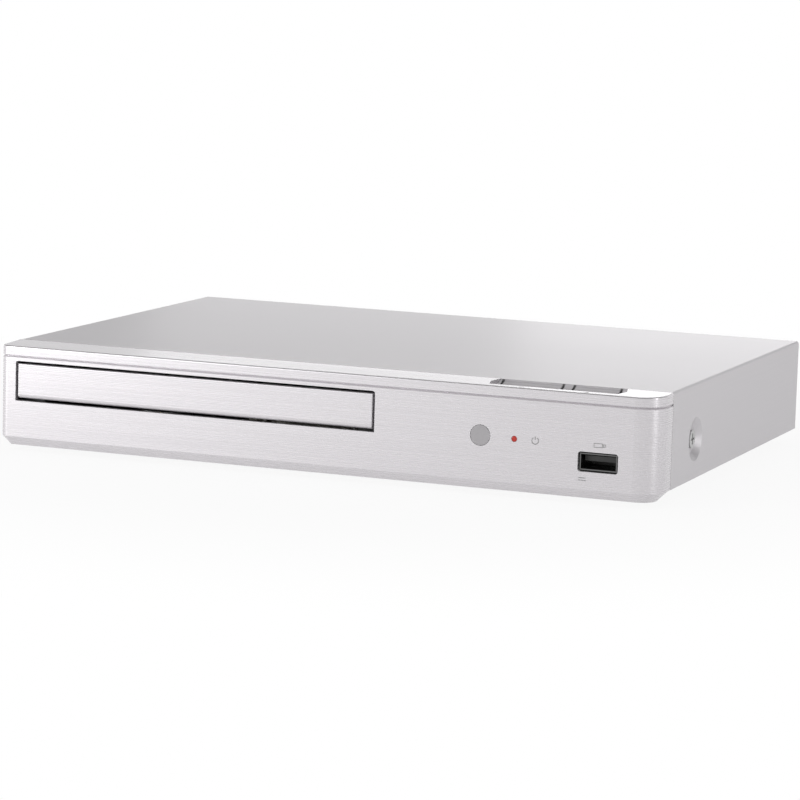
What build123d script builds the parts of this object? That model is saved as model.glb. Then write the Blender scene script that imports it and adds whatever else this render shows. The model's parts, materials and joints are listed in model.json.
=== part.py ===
from build123d import *
import os
from math import acos, ceil, cos, pi, radians, sin, sqrt, tan

# A compact silver disc player: folded metal case, moulded front, tray drive and circuit boards.
# Millimetres, +X to the right, +Y to the rear, +Z up. It stands on its feet, the origin under its middle.

# Clearances
CASE_GAP = 0.2  # between folded sheets and beside the moulding
SEAT_GAP = 0.1  # round a piece that sits in an opening
RUN_GAP = 0.3  # between faces that slide past one another
PASS_GAP = 0.6  # between pieces that pass without guiding one another
SHAFT_GAP = 0.05  # radial, between a shaft and its hole

# Case
WIDTH = 246.0
BODY_DEPTH = 175.0
CASE_INSIDE = 32.1  # clear height over the base plate
SHEET = 0.8
COVER_FOLD = 1.2  # outer radius of the cover's long folds
COVER_RISE = 0.5  # the cover's sides end this far above the underside of the base plate
FRONT_FLANGE = 3.5
FOOT_HEIGHT = 4.8
FOOT_RADIUS = 8.0
FOOT_EDGE = 1.0
FOOT_INSET_SIDE = 28.5
FOOT_INSET_FRONT = 32.0
FOOT_INSET_REAR = 22.0
DIMPLE_RADIUS = 7.7
DIMPLE_FLOOR_RADIUS = 5.2
DIMPLE_DEPTH = 2.0
DIMPLE_WALL = 0.5
DIMPLE_SETBACK = 42.1
DIMPLE_LEVEL = 13.4  # above the base plate's top
TAB_WIDTH = 22.0
REAR_TAB_WIDTH = 14.0
REAR_TAB_HEIGHT = 10.0
REAR_TAB_SPACING = 102.0
CASE_SCREW_RADIUS = 1.5
CASE_SCREW_HEAD_RADIUS = 3.2
CASE_SCREW_HEAD = 1.0
VENT_WIDTH = 2.0
VENT_HEIGHT = 9.0
VENT_PITCH = 6.0
VENT_COUNT = 15
VENT_LEVEL = 8.0
FLOOR_VENT_LENGTH = 30.0
FLOOR_VENT_MARGIN = 9.0

# Front moulding
PANEL_DEPTH = 14.4
PANEL_WALL = 2.2
PANEL_LEFT_CORNER = 3.0
PANEL_RIGHT_CORNER = 9.0
PANEL_SLOPE = 0.5  # fall of the top strip from the seam to the front
PANEL_EDGE = 0.5  # rounding of the top strip's edges
PANEL_RISE = 0.6  # the front face ends this far above the underside of the base plate
LIP_DROP = 3.3
LIP_SETBACK = 3.0
LIP_DEPTH = 12.2
GROOVE_DROP = 4.15
GROOVE_WIDTH = 0.8
GROOVE_DEPTH = 0.6
BOSS_RADIUS = 2.5
BOSS_LEVEL = 8.5
BOSS_INSETS = (71.5, 38.5)

# Front fittings: insets are from the right side, levels above the base plate's top
WINDOW_INSET = 63.3
WINDOW_LEVEL = 15.15
WINDOW_RADIUS = 3.65
WINDOW_RIM = 0.8
LAMP_INSET = 51.05
LAMP_LEVEL = 14.9
LAMP_RADIUS = 1.0
LAMP_BULB_RADIUS = 1.5
USB_INSET = 21.2
USB_LEVEL = 9.25
USB_OPENING_WIDTH = 14.2
USB_OPENING_HEIGHT = 6.8
USB_OPENING_CORNER = 1.0
USB_WIDTH = 13.2
USB_HEIGHT = 5.8
USB_SKIN = 0.4
USB_SETBACK = 0.8
TONGUE_THICKNESS = 1.8
TONGUE_SIDE_GAP = 0.6
TONGUE_SETBACK = 2.5
FRONT_BOARD_WIDTH = 66.0
FRONT_BOARD_INSET = 41.5
FRONT_BOARD_LOW = 2.4
FRONT_BOARD_HEIGHT = 22.0
FRONT_BOARD_SETBACK = 15.0

# Keys on the top strip
KEY_BEZEL_INSET = 14.7
KEY_BEZEL_WIDTH = 48.5
KEY_BEZEL_SETBACK = 3.3
KEY_BEZEL_POINT = 1.5
KEY_BEZEL_THICKNESS = 2.0
KEY_RIM = 0.45
KEY_LEFT_RIM = 2.4
KEY_RIGHT_RIM = 3.2
POWER_KEY_WIDTH = 22.3
KEY_DIVIDER_WIDTH = 3.35
KEY_GAP = 0.35
KEY_SCOOP_DEPTH = 1.5
KEY_SCOOP_RADIUS = 4.2
KEY_FLANGE = 0.8
KEY_TRAVEL = 0.6
KEY_STEM_RADIUS = 1.5
SWITCH_SIZE = 6.0
SWITCH_HEIGHT = 4.4
STEM_DIP = 0.8

# Tray and door
DRIVE_SIDE_GAP = 5.6  # from the left side to the loader's rail
DISC_RADIUS = 60.0
SMALL_DISC_RADIUS = 40.0
DISC_ROOM = 0.5
DOOR_OVERLAP = 3.0  # the door reaches past the tray at each end
DOOR_HEIGHT = 12.4
DOOR_THICKNESS = 2.4
DOOR_LEVEL = 13.8
DOOR_GAP = 0.95
DOOR_SOFT_EDGE = 1.4
DOOR_EDGE = 0.3
OPENING_CORNER = 1.0
TRAY_RISE = 1.6  # from the door's lower edge to the tray's underside
TRAY_RIM = 4.5
TRAY_FRONT_RIM = 5.6
TRAY_LENGTH = 162.0
TRAY_THICKNESS = 5.0
TRAY_FLOOR = 2.2  # left under the large disc
SMALL_DISC_STEP = 0.8
TRAY_SLOT = 38.0
TRAY_TRAVEL = 132.0
TRAY_WALL = 3.0
TRAY_WALL_DROP = 0.8  # from the door's upper edge to the top of the tray's front wall
TRAY_CORNER = 6.0

# Loader frame
FRAME_LIFT = 2.4
FRAME_SETBACK = 6.0
FRAME_TAIL = 3.6  # behind the tray
FRAME_PLATE = 2.0
RAIL_WALL = 4.1
RAIL_GAP = 0.4
LEDGE_REACH = 5.0
LEDGE_THICKNESS = 3.0
HOLD_DOWN = 1.2
HOLD_DOWN_REACH = 3.0
HOLD_DOWN_LENGTH = 16.0
HOLD_DOWN_PLACES = (40.0, 128.0)
FRAME_SCREW_INSET = 5.0
FRAME_SCREW_SETBACK = 6.0
STANDOFF_RADIUS = 3.5
SCREW_RADIUS = 1.2
SCREW_HEAD_RADIUS = 2.4
SCREW_HEAD = 1.5
SCREW_LENGTH = 4.2
SCREW_CROSS = 0.6  # the crossed recess, in head radii
SCREW_CROSS_WIDTH = 0.5  # in shank radii

# Gears, pulleys and belt
MODULE = 1.0
PRESSURE_ANGLE = 20.0
ADDENDUM = 0.8  # in modules
DEDENDUM = 1.1  # in modules
BACKLASH = 0.2
FLANK_STEPS = 4
PINION_TEETH = 14
DRIVE_TEETH = 36
PULLEY_PINION_TEETH = 12
GEAR_THICKNESS = 2.0
RACK_OFFSET = 50.0  # the rack's pitch line from the drive's middle
RACK_HEIGHT = 2.1
RACK_BACK = 2.5
GEAR_SETBACK = 24.0
GEAR_POST_RADIUS = 2.0
GEAR_HUB_WALL = 1.8
PULLEY_GROOVE_RADIUS = 9.9
MOTOR_GROOVE_RADIUS = 2.4
PULLEY_FLANGE = 1.1
PULLEY_RIM = 0.5
BELT = 1.2
BELT_SPAN = 40.0
MOTOR_RADIUS = 10.0
MOTOR_FLANGE = 3.0
MOTOR_FLANGE_THICKNESS = 1.0
MOTOR_SHAFT_RADIUS = 1.0
MOTOR_SHAFT_DEPTH = 4.0

# Lifting deck
LIFT_ANGLE = 3.2
CAM_TRAVEL = 12.0
CAM_THICKNESS = 2.0
CAM_GAP = 3.5
CAM_FOOT = 5.0
CAM_FOOT_THICKNESS = 1.5
CAM_EDGE = 1.2
CAM_GUIDE = 1.5
CAM_PIN_RADIUS = 1.2
CAM_PIN_SPACING = 28.0
HINGE_GAP = 0.5  # from the sled motor to the tilting frame's rear bar
HINGE_PIN_RADIUS = 1.5
HINGE_PIN_LENGTH = 5.0
HINGE_POST = 3.2  # wall above and beside the hinge pin
TILT_LEVEL = 7.8
TILT_THICKNESS = 2.0
TILT_WIDTH = 92.0
TILT_BAR = 8.0
TILT_REACH = 20.0  # from the spindle to the front of the tilting frame
DAMPER_RADIUS = 3.5
DAMPER_HEIGHT = 1.6
DECK_SCREW_HEAD = 0.6
DECK_THICKNESS = 1.0
DECK_EDGE = 0.5
TURNTABLE_RADIUS = 13.5
DISC_LIFT = 1.0  # the turntable holds a disc this far off the tray
TURNTABLE_THICKNESS = 2.6
TURNTABLE_RELIEF = 0.5
TURNTABLE_SEAT = 3.5
HUB_RADIUS = 7.4
HUB_HEIGHT = 2.1
HUB_CHAMFER = 1.2
SPINDLE_RADIUS = 1.0
SPINDLE_MOTOR_RADIUS = 11.0
SPINDLE_MOTOR_HEIGHT = 2.9
ROD_RADIUS = 1.5
ROD_INSET = 3.5  # from the pickup's side
ROD_DROP = 2.0  # rod middle below the deck plate
ROD_HOLDER = 5.0
ROD_HOLDER_DEPTH = 4.0
LENS_START = 24.0  # from the spindle
SLED_TRAVEL = 34.0
PICKUP_SCREW_GAP = 3.5  # from the pickup's side to the lead screw's middle
PICKUP_DEPTH = 19.0
PICKUP_BELOW = 3.8
PICKUP_ABOVE = 2.2
PICKUP_ROOM = 1.5
LENS_WIDTH = 12.0
LENS_DEPTH = 10.0
LENS_HOLDER = 1.2
LENS_RADIUS = 2.2
LENS_RISE = 0.6
LENS_TRAVEL = 0.3
MAGNET_DEPTH = 2.0
MAGNET_HEIGHT = 1.6
SCREW_SIDE_GAP = 2.0  # from the sled motor to the tilting frame's side bar
SCREW_DROP = 3.5
SCREW_CORE_RADIUS = 1.3
SCREW_CREST = 0.5
SCREW_PITCH = 3.0
SCREW_RIDGE = 1.2
SCREW_PIVOT_RADIUS = 0.7
NUT_TOOTH = 0.9
NUT_DIP = 0.25
NUT_WIDTH = 4.0
SLED_MOTOR_RADIUS = 3.0
SLED_MOTOR_LENGTH = 5.0
SLED_TAB = 1.2

# Clamp
BRIDGE_DEPTH = 32.0
BRIDGE_THICKNESS = 1.0
BRIDGE_FLANGE = 2.5
CLAMPER_RADIUS = 13.0
CLAMPER_FOOT = 2.0
CLAMPER_NECK_RADIUS = 9.7
CLAMPER_RIM_RADIUS = 12.0
CLAMPER_RIM = 1.4
CLAMPER_REST = 0.8  # between the clamper and the turntable's seat
CLAMPER_PLAY = 0.5

# Circuit boards
BOARD = 1.6
BOARD_LIFT = 4.0
BOARD_STANDOFF_RADIUS = 3.0
BOARD_SCREW_RADIUS = 1.0
BOARD_SCREW_TAIL = 30.0  # from the boards' rear edge to the rear screws
MAIN_BOARD_GAP = 4.9  # from the loader's rail
POWER_BOARD_WIDTH = 36.4
POWER_BOARD_INSET = 5.1
BOARD_GAP = 3.0
BOARD_SETBACK = 55.0
BOARD_REAR_GAP = 0.5
CHIP_SIZE = 18.0
CHIP_HEIGHT = 1.6
CHIP_INSET = 24.0  # from the main board's left edge
CHIP_SETBACK = 92.0
SINK_SIZE = 30.0
SINK_BASE = 2.0
SINK_HEIGHT = 12.0
FIN_THICKNESS = 1.2
FIN_COUNT = 7
MEMORY_WIDTH = 9.0
MEMORY_LENGTH = 13.0
MEMORY_HEIGHT = 1.1
MEMORY_SPACING = 14.0
MEMORY_SETBACK = 68.0
TRANSFORMER_SIZE = 22.0
TRANSFORMER_HEIGHT = 17.0
TRANSFORMER_CORE = 8.0
TRANSFORMER_SETBACK = 100.0
CAPACITOR_RADIUS = 5.0
CAPACITOR_HEIGHT = 16.0
CAPACITOR_PITCH = 12.0
CAPACITOR_COUNT = 3
CAPACITOR_SETBACK = 72.0
CABLE = 0.4
CABLE_WIDTH = 12.0
CABLE_BEND = 3.0
CABLE_SOCKET_DEPTH = 4.0
CABLE_SOCKET_HEIGHT = 2.5
FRONT_CABLE_INSET = 16.0  # from the main board's right edge
FRONT_CABLE_LEVEL = 12.0
POWER_CABLE_SETBACK = 126.0
DRIVE_CABLE_SETBACK = 120.0

# Rear sockets
SOCKET_PROUD = 0.4
INLET_INSET = 22.5  # from the right side
INLET_WIDTH = 24.0
INLET_HEIGHT = 14.0
INLET_LENGTH = 18.0
INLET_RECESS_RADIUS = 4.6
INLET_RECESS = 13.0
INLET_PIN_SPACING = 8.6
INLET_PIN_RADIUS = 1.2
INLET_PIN_LENGTH = 10.5
HDMI_INSET = 28.0  # from the main board's right edge
HDMI_WIDTH = 15.2
HDMI_HEIGHT = 6.2
HDMI_LENGTH = 11.5
HDMI_SKIN = 0.5
HDMI_CORNER = 1.6
LAN_INSET = 10.0  # from the main board's right edge
LAN_WIDTH = 16.0
LAN_HEIGHT = 13.6
LAN_LENGTH = 18.0
LAN_MOUTH_WIDTH = 11.8
LAN_MOUTH_HEIGHT = 7.6
LAN_MOUTH_DEPTH = 13.0
LAN_LATCH_WIDTH = 5.0
LAN_LATCH_HEIGHT = 2.0
LAN_MOUTH_LEVEL = 2.0
COAX_INSET = 8.0  # from the main board's left edge
COAX_WIDTH = 10.0
COAX_HEIGHT = 12.0
COAX_LENGTH = 11.0
JACK_STANDOUT = 7.0
JACK_RADIUS = 4.15
JACK_WALL = 0.6
JACK_HOLE_RADIUS = 1.7

# Levels and places worked out from the sizes above
UNDERSIDE = FOOT_HEIGHT
FLOOR = UNDERSIDE + SHEET
ROOF = FLOOR + CASE_INSIDE
TOP = ROOF + SHEET
SIDE = WIDTH / 2
FRONT = -(BODY_DEPTH + JACK_STANDOUT) / 2
SEAM = FRONT + PANEL_DEPTH
REAR = FRONT + BODY_DEPTH
REAR_FACE = REAR - SHEET
REAR_INSIDE = REAR_FACE - SHEET
COVER_LOW = UNDERSIDE + COVER_RISE
DIMPLE_Y = FRONT + DIMPLE_SETBACK
DIMPLE_Z = FLOOR + DIMPLE_LEVEL
DIMPLE_SEAT = SIDE - DIMPLE_DEPTH - SHEET
REAR_TAB_Z = ROOF - REAR_TAB_HEIGHT / 2
REAR_TABS = (-REAR_TAB_SPACING, 0.0, REAR_TAB_SPACING)

RECESS_RADIUS = DISC_RADIUS + DISC_ROOM
TRAY_WIDTH = 2 * (RECESS_RADIUS + TRAY_RIM)
DOOR_WIDTH = TRAY_WIDTH + 2 * DOOR_OVERLAP
RAIL_INSIDE = TRAY_WIDTH / 2 + RAIL_GAP
RAIL_OUTSIDE = RAIL_INSIDE + RAIL_WALL
DRIVE_X = -SIDE + DRIVE_SIDE_GAP + RAIL_OUTSIDE
DOOR_Z = FLOOR + DOOR_LEVEL
TRAY_Z = DOOR_Z + TRAY_RISE
TRAY_TOP = TRAY_Z + TRAY_THICKNESS
TRAY_FRONT = FRONT + DOOR_THICKNESS
TRAY_REAR = TRAY_FRONT + TRAY_LENGTH
SPINDLE_Y = TRAY_FRONT + TRAY_WALL + TRAY_FRONT_RIM + RECESS_RADIUS
RACK_Z = TRAY_Z - RACK_HEIGHT

FRAME_Z = FLOOR + FRAME_LIFT
PLATE_TOP = FRAME_Z + FRAME_PLATE
RAIL_TOP = TRAY_TOP + RUN_GAP + HOLD_DOWN
LEDGE_TOP = TRAY_Z - RUN_GAP
LEDGE_Z = LEDGE_TOP - LEDGE_THICKNESS
FRAME_FRONT = FRONT + FRAME_SETBACK
FRAME_REAR = TRAY_REAR + FRAME_TAIL

TILT_HALF = TILT_WIDTH / 2
SCREW_OFFSET = TILT_HALF - TILT_BAR - SCREW_SIDE_GAP - SLED_MOTOR_RADIUS
PICKUP_WIDTH = 2 * (SCREW_OFFSET - PICKUP_SCREW_GAP)
ROD_SPACING = PICKUP_WIDTH - 2 * ROD_INSET
LENS_Y = SPINDLE_Y + LENS_START
SLED_FRONT = LENS_Y - PICKUP_DEPTH / 2 - RUN_GAP
SLED_REAR = LENS_Y + SLED_TRAVEL + PICKUP_DEPTH / 2 + RUN_GAP
TILT_FRONT = SPINDLE_Y - TILT_REACH
HINGE_Y = SLED_REAR + SLED_TAB + SLED_MOTOR_LENGTH + HINGE_GAP + TILT_BAR / 2
TILT_REAR = HINGE_Y + TILT_BAR / 2
CAM_Y = TILT_FRONT - CAM_GAP - CAM_THICKNESS
TILT_Z = FLOOR + TILT_LEVEL
TILT_TOP = TILT_Z + TILT_THICKNESS
PIVOT_Z = TILT_Z + TILT_THICKNESS / 2
PIN_FALL = (HINGE_Y - CAM_Y - CAM_THICKNESS / 2) * sin(radians(LIFT_ANGLE))
DECK_Z = TILT_TOP + DAMPER_HEIGHT
DECK_TOP = DECK_Z + DECK_THICKNESS
SEAT_Z = TRAY_Z + TRAY_FLOOR + DISC_LIFT
ROD_Z = DECK_Z - ROD_DROP
SCREW_Z = DECK_Z - SCREW_DROP
BRIDGE_Z = RAIL_TOP
CLAMPER_Z = SEAT_Z + CLAMPER_REST

PINION_PITCH = MODULE * PINION_TEETH / 2
DRIVE_PITCH = MODULE * DRIVE_TEETH / 2
PULLEY_PINION_PITCH = MODULE * PULLEY_PINION_TEETH / 2
GEAR_Y = FRONT + GEAR_SETBACK
DRIVE_GEAR_X = DRIVE_X + RACK_OFFSET - PINION_PITCH
PULLEY_GEAR_X = DRIVE_GEAR_X - DRIVE_PITCH - PULLEY_PINION_PITCH
MOTOR_X = PULLEY_GEAR_X - BELT_SPAN
GEAR_TOP = LEDGE_Z - RUN_GAP
GEAR_Z = GEAR_TOP - GEAR_THICKNESS
PULLEY_Z = GEAR_TOP + RUN_GAP
PULLEY_TOP = TRAY_Z - PASS_GAP

BOARD_Z = FLOOR + BOARD_LIFT
BOARD_TOP = BOARD_Z + BOARD
BOARD_FRONT = FRONT + BOARD_SETBACK
BOARD_REAR = REAR_INSIDE - BOARD_REAR_GAP
BOARD_SCREW_INSET = CABLE_SOCKET_DEPTH + SCREW_HEAD_RADIUS + PASS_GAP
POWER_BOARD_RIGHT = SIDE - POWER_BOARD_INSET
POWER_BOARD_LEFT = POWER_BOARD_RIGHT - POWER_BOARD_WIDTH
MAIN_BOARD_RIGHT = POWER_BOARD_LEFT - BOARD_GAP
MAIN_BOARD_LEFT = DRIVE_X + RAIL_OUTSIDE + MAIN_BOARD_GAP
CHIP_X = MAIN_BOARD_LEFT + CHIP_INSET
FRONT_CABLE_X = MAIN_BOARD_RIGHT - FRONT_CABLE_INSET
INLET_X = SIDE - INLET_INSET
HDMI_X = MAIN_BOARD_RIGHT - HDMI_INSET
LAN_X = MAIN_BOARD_RIGHT - LAN_INSET
COAX_X = MAIN_BOARD_LEFT + COAX_INSET

BOSS_PLACES = [SIDE - inset for inset in BOSS_INSETS]
WINDOW_X = SIDE - WINDOW_INSET
LAMP_X = SIDE - LAMP_INSET
USB_X = SIDE - USB_INSET
FRONT_BOARD_X = SIDE - FRONT_BOARD_INSET
FRONT_BOARD_Y = FRONT + FRONT_BOARD_SETBACK
WINDOW_Z = FLOOR + WINDOW_LEVEL
LAMP_Z = FLOOR + LAMP_LEVEL
USB_Z = FLOOR + USB_LEVEL
BEZEL_FRONT = FRONT + KEY_BEZEL_SETBACK
BEZEL_LOW = TOP - PANEL_SLOPE - KEY_BEZEL_THICKNESS
KEY_Y = FRONT_BOARD_Y - SWITCH_SIZE / 2
SWITCH_TOP = FLOOR + FRONT_BOARD_LOW + FRONT_BOARD_HEIGHT + RUN_GAP
KEY_BEZEL_RIGHT = SIDE - KEY_BEZEL_INSET
KEY_BEZEL_LEFT = KEY_BEZEL_RIGHT - KEY_BEZEL_WIDTH
KEY_1 = (KEY_BEZEL_LEFT + KEY_LEFT_RIM, KEY_BEZEL_LEFT + KEY_LEFT_RIM + POWER_KEY_WIDTH)
KEY_2 = (KEY_1[1] + KEY_DIVIDER_WIDTH, KEY_BEZEL_RIGHT - KEY_RIGHT_RIM)


# Plain shapes that the pieces are made from
LOW_END = (Align.CENTER, Align.CENTER, Align.MIN)


def block(x, y, z):
    """A box between the (low, high) pairs given along each axis."""
    size = [high - low for low, high in (x, y, z)]
    return Pos(x[0], y[0], z[0]) * Box(*size, align=(Align.MIN, Align.MIN, Align.MIN))


def upright(radius, z, at):
    """A vertical cylinder over the heights z, centred on at = (x, y)."""
    return Pos(at[0], at[1], z[0]) * Cylinder(radius, z[1] - z[0], align=LOW_END)


def along_y(radius, y, at):
    """A cylinder along Y over the places y, centred on at = (x, z)."""
    return Pos(at[0], y[0], at[1]) * Rot(-90, 0, 0) * Cylinder(radius, y[1] - y[0], align=LOW_END)


def along_x(radius, x, at):
    """A cylinder along X over the places x, centred on at = (y, z)."""
    return Pos(x[0], at[0], at[1]) * Rot(0, 90, 0) * Cylinder(radius, x[1] - x[0], align=LOW_END)


def cone_x(radii, x, at):
    """A cone along X whose radius goes from the first to the second of radii over the places x."""
    cone = Cone(radii[0], radii[1], x[1] - x[0], align=LOW_END)
    return Pos(x[0], at[0], at[1]) * Rot(0, 90, 0) * cone


def prism_x(points, x):
    """A polygon of (y, z) points carried along X."""
    return extrude(Plane.YZ.offset(x[0]) * Polygon(*points, align=None), x[1] - x[0])


def prism_y(shape, y):
    """A flat shape drawn in X and Z carried along Y."""
    plane = Plane(origin=(0, y[1], 0), x_dir=(1, 0, 0), z_dir=(0, -1, 0))
    return extrude(plane * shape, y[1] - y[0])


def prism_z(shape, z):
    """A flat shape drawn in X and Y carried upwards."""
    return extrude(Plane.XY.offset(z[0]) * shape, z[1] - z[0])


def turned(points, at):
    """A ring turned about the vertical through at = (x, y) from (radius, height) points."""
    plane = Plane(origin=(at[0], at[1], 0), x_dir=(1, 0, 0), z_dir=(0, -1, 0))
    return revolve(plane * Polygon(*points, align=None), Axis((at[0], at[1], 0), (0, 0, 1)))


def group(pieces):
    """Separate solids that share one node."""
    return Compound(children=[solid for piece in pieces for solid in piece.solids()])


def screw_down(at, z, shank, radius, head_radius, head):
    """A pan-head screw driven downwards: its head stands on z, with a crossed recess."""
    screw = upright(head_radius, (z, z + head), at) + upright(radius, (z - shank, z), at)
    half = head_radius * SCREW_CROSS
    slot = radius * SCREW_CROSS_WIDTH / 2
    deep = (z + head / 2, z + head)
    screw -= block((at[0] - half, at[0] + half), (at[1] - slot, at[1] + slot), deep)
    return screw - block((at[0] - slot, at[0] + slot), (at[1] - half, at[1] + half), deep)


# Case
def base_chassis():
    """The base plate with its front flange, screw tabs, board posts and vents."""
    wide = SIDE - SHEET - CASE_GAP
    narrow = SIDE - PANEL_WALL - CASE_GAP
    front = FRONT + PANEL_WALL + CASE_GAP
    nose = block((-narrow, narrow), (front, SEAM + CASE_GAP), (UNDERSIDE, FLOOR))
    nose = fillet(nose.edges().filter_by(Axis.Z).group_by(Axis.Y)[0], PANEL_RIGHT_CORNER)
    plate = nose + block((-wide, wide), (SEAM + CASE_GAP, REAR_FACE), (UNDERSIDE, FLOOR))
    flange = narrow - PANEL_RIGHT_CORNER
    plate += block((-flange, flange), (front, front + SHEET), (FLOOR, FLOOR + FRONT_FLANGE))
    tab_top = DIMPLE_Z + DIMPLE_FLOOR_RADIUS
    tab_y = (DIMPLE_Y - TAB_WIDTH / 2, DIMPLE_Y + TAB_WIDTH / 2)
    hole = CASE_SCREW_RADIUS + SHAFT_GAP
    for side in (-1, 1):
        tab_x = sorted((side * DIMPLE_SEAT, side * (DIMPLE_SEAT - SHEET)))
        tab = block(tab_x, tab_y, (FLOOR, tab_top))
        plate += tab - along_x(hole, tab_x, (DIMPLE_Y, DIMPLE_Z))
    plate += [upright(BOARD_STANDOFF_RADIUS, (FLOOR, BOARD_Z), at) for at in board_screw_places()]
    plate += [upright(STANDOFF_RADIUS, (FLOOR, FRAME_Z), at) for at in frame_screw_places()]
    board_hole = BOARD_SCREW_RADIUS + SHAFT_GAP
    plate -= [upright(board_hole, (UNDERSIDE, BOARD_Z), at) for at in board_screw_places()]
    frame_hole = SCREW_RADIUS + SHAFT_GAP
    plate -= [upright(frame_hole, (UNDERSIDE, FRAME_Z), at) for at in frame_screw_places()]
    return plate - floor_vents()


def floor_vents():
    """Two fields of slots in the base plate, under the boards."""
    middle = (BOARD_FRONT + BOARD_REAR) / 2
    span = (middle - FLOOR_VENT_LENGTH / 2, middle + FLOOR_VENT_LENGTH / 2)
    slots = []
    for left, right in ((MAIN_BOARD_LEFT, MAIN_BOARD_RIGHT), (POWER_BOARD_LEFT, POWER_BOARD_RIGHT)):
        count = int((right - left - 2 * FLOOR_VENT_MARGIN) / VENT_PITCH)
        first = (left + right - count * VENT_PITCH) / 2
        for number in range(count):
            x = first + number * VENT_PITCH
            slots.append(block((x, x + VENT_WIDTH), span, (UNDERSIDE, FLOOR)))
    return slots


def top_cover():
    """The folded cover: top, two sides with a dished screw place each, and three tabs at the rear."""
    front = SEAM + CASE_GAP
    outer = block((-SIDE, SIDE), (front, REAR), (COVER_LOW, TOP))
    outer = fillet(outer.edges().filter_by(Axis.Y).group_by(Axis.Z)[-1], COVER_FOLD)
    inside = SIDE - SHEET
    inner = block((-inside, inside), (front, REAR), (COVER_LOW, ROOF))
    inner = fillet(inner.edges().filter_by(Axis.Y).group_by(Axis.Z)[-1], COVER_FOLD - SHEET)
    cover = outer - inner
    centre = (DIMPLE_Y, DIMPLE_Z)
    radii = (DIMPLE_FLOOR_RADIUS + DIMPLE_WALL, DIMPLE_RADIUS + DIMPLE_WALL)
    back = cone_x(radii, (DIMPLE_SEAT, SIDE - SHEET), centre)
    dish = cone_x((DIMPLE_FLOOR_RADIUS, DIMPLE_RADIUS), (SIDE - DIMPLE_DEPTH, SIDE), centre)
    hole = along_x(CASE_SCREW_RADIUS + SHAFT_GAP, (DIMPLE_SEAT, SIDE), centre)
    for side in (1, -1):
        cover += back if side > 0 else mirror(back, about=Plane.YZ)
        for cut in (dish, hole):
            cover -= cut if side > 0 else mirror(cut, about=Plane.YZ)
    half = REAR_TAB_WIDTH / 2
    for x in REAR_TABS:
        tab = block((x - half, x + half), (REAR_FACE, REAR), (ROOF - REAR_TAB_HEIGHT, ROOF))
        tab = fillet(tab.edges().filter_by(Axis.Y).group_by(Axis.Z)[0], half / 3)
        cover += tab - along_y(CASE_SCREW_RADIUS + SHAFT_GAP, (REAR_FACE, REAR), (x, REAR_TAB_Z))
    return cover


def rear_panel():
    """The rear sheet with its socket openings, vents and screw holes."""
    half = SIDE - SHEET - CASE_GAP
    sheet = block((-half, half), (REAR_INSIDE, REAR_FACE), (FLOOR, ROOF - CASE_GAP))
    thick = (REAR_INSIDE, REAR_FACE)
    for x, width, height in (
        (INLET_X, INLET_WIDTH, INLET_HEIGHT),
        (HDMI_X, HDMI_WIDTH, HDMI_HEIGHT),
        (LAN_X, LAN_WIDTH, LAN_HEIGHT),
    ):
        room = width / 2 + SEAT_GAP
        sheet -= block((x - room, x + room), thick, (BOARD_TOP - SEAT_GAP, BOARD_TOP + height + SEAT_GAP))
    sheet -= along_y(JACK_RADIUS + SEAT_GAP, thick, (COAX_X, BOARD_TOP + COAX_HEIGHT / 2))
    for x in REAR_TABS:
        sheet -= along_y(CASE_SCREW_RADIUS + SHAFT_GAP, thick, (x, REAR_TAB_Z))
    first = DRIVE_X - VENT_PITCH * (VENT_COUNT - 1) / 2
    low = FLOOR + VENT_LEVEL
    for number in range(VENT_COUNT):
        x = first + number * VENT_PITCH
        sheet -= block((x - VENT_WIDTH / 2, x + VENT_WIDTH / 2), thick, (low, low + VENT_HEIGHT))
    return sheet


def foot(x, y):
    """A round foot under the base plate, its lower edge rounded."""
    pad = upright(FOOT_RADIUS, (0, UNDERSIDE), (x, y))
    return fillet(pad.edges().group_by(Axis.Z)[0], FOOT_EDGE)


def case_screws():
    """The screws that hold the cover: one in each side and three at the rear."""
    shank = 2 * SHEET + RUN_GAP
    sizes = (shank, CASE_SCREW_RADIUS, CASE_SCREW_HEAD_RADIUS, CASE_SCREW_HEAD)
    seat = SIDE - DIMPLE_DEPTH
    plain = screw_down((0, 0), 0, *sizes)
    right = Pos(seat, DIMPLE_Y, DIMPLE_Z) * Rot(0, 90, 0) * plain
    left = Pos(-seat, DIMPLE_Y, DIMPLE_Z) * Rot(0, -90, 0) * plain
    rear = [Pos(x, REAR, REAR_TAB_Z) * Rot(-90, 0, 0) * plain for x in REAR_TABS]
    return group([right, left, *rear])


# Front moulding and its fittings
def panel_body(inset, low, high):
    """The moulding's outside, drawn in by inset, with rounded front corners."""
    half = SIDE - inset
    body = block((-half, half), (FRONT + inset, SEAM), (low, high))
    left = body.edges().filter_by(Axis.Z).group_by(Axis.Y)[0].sort_by(Axis.X)[0]
    body = fillet(left, max(PANEL_LEFT_CORNER - inset, DOOR_EDGE))
    right = body.edges().filter_by(Axis.Z).group_by(Axis.Y)[0].sort_by(Axis.X)[-1]
    return fillet(right, max(PANEL_RIGHT_CORNER - inset, DOOR_EDGE))


def strip_cut(drop):
    """What lies above the sloping top strip, lowered by drop."""
    fall = PANEL_SLOPE / PANEL_DEPTH
    front = TOP - PANEL_SLOPE - fall * PANEL_DEPTH - drop
    points = ((FRONT - PANEL_DEPTH, front), (SEAM, TOP - drop))
    above = TOP + PANEL_DEPTH
    return prism_x((*points, (SEAM, above), (FRONT - PANEL_DEPTH, above)), (-SIDE, SIDE))


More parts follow.
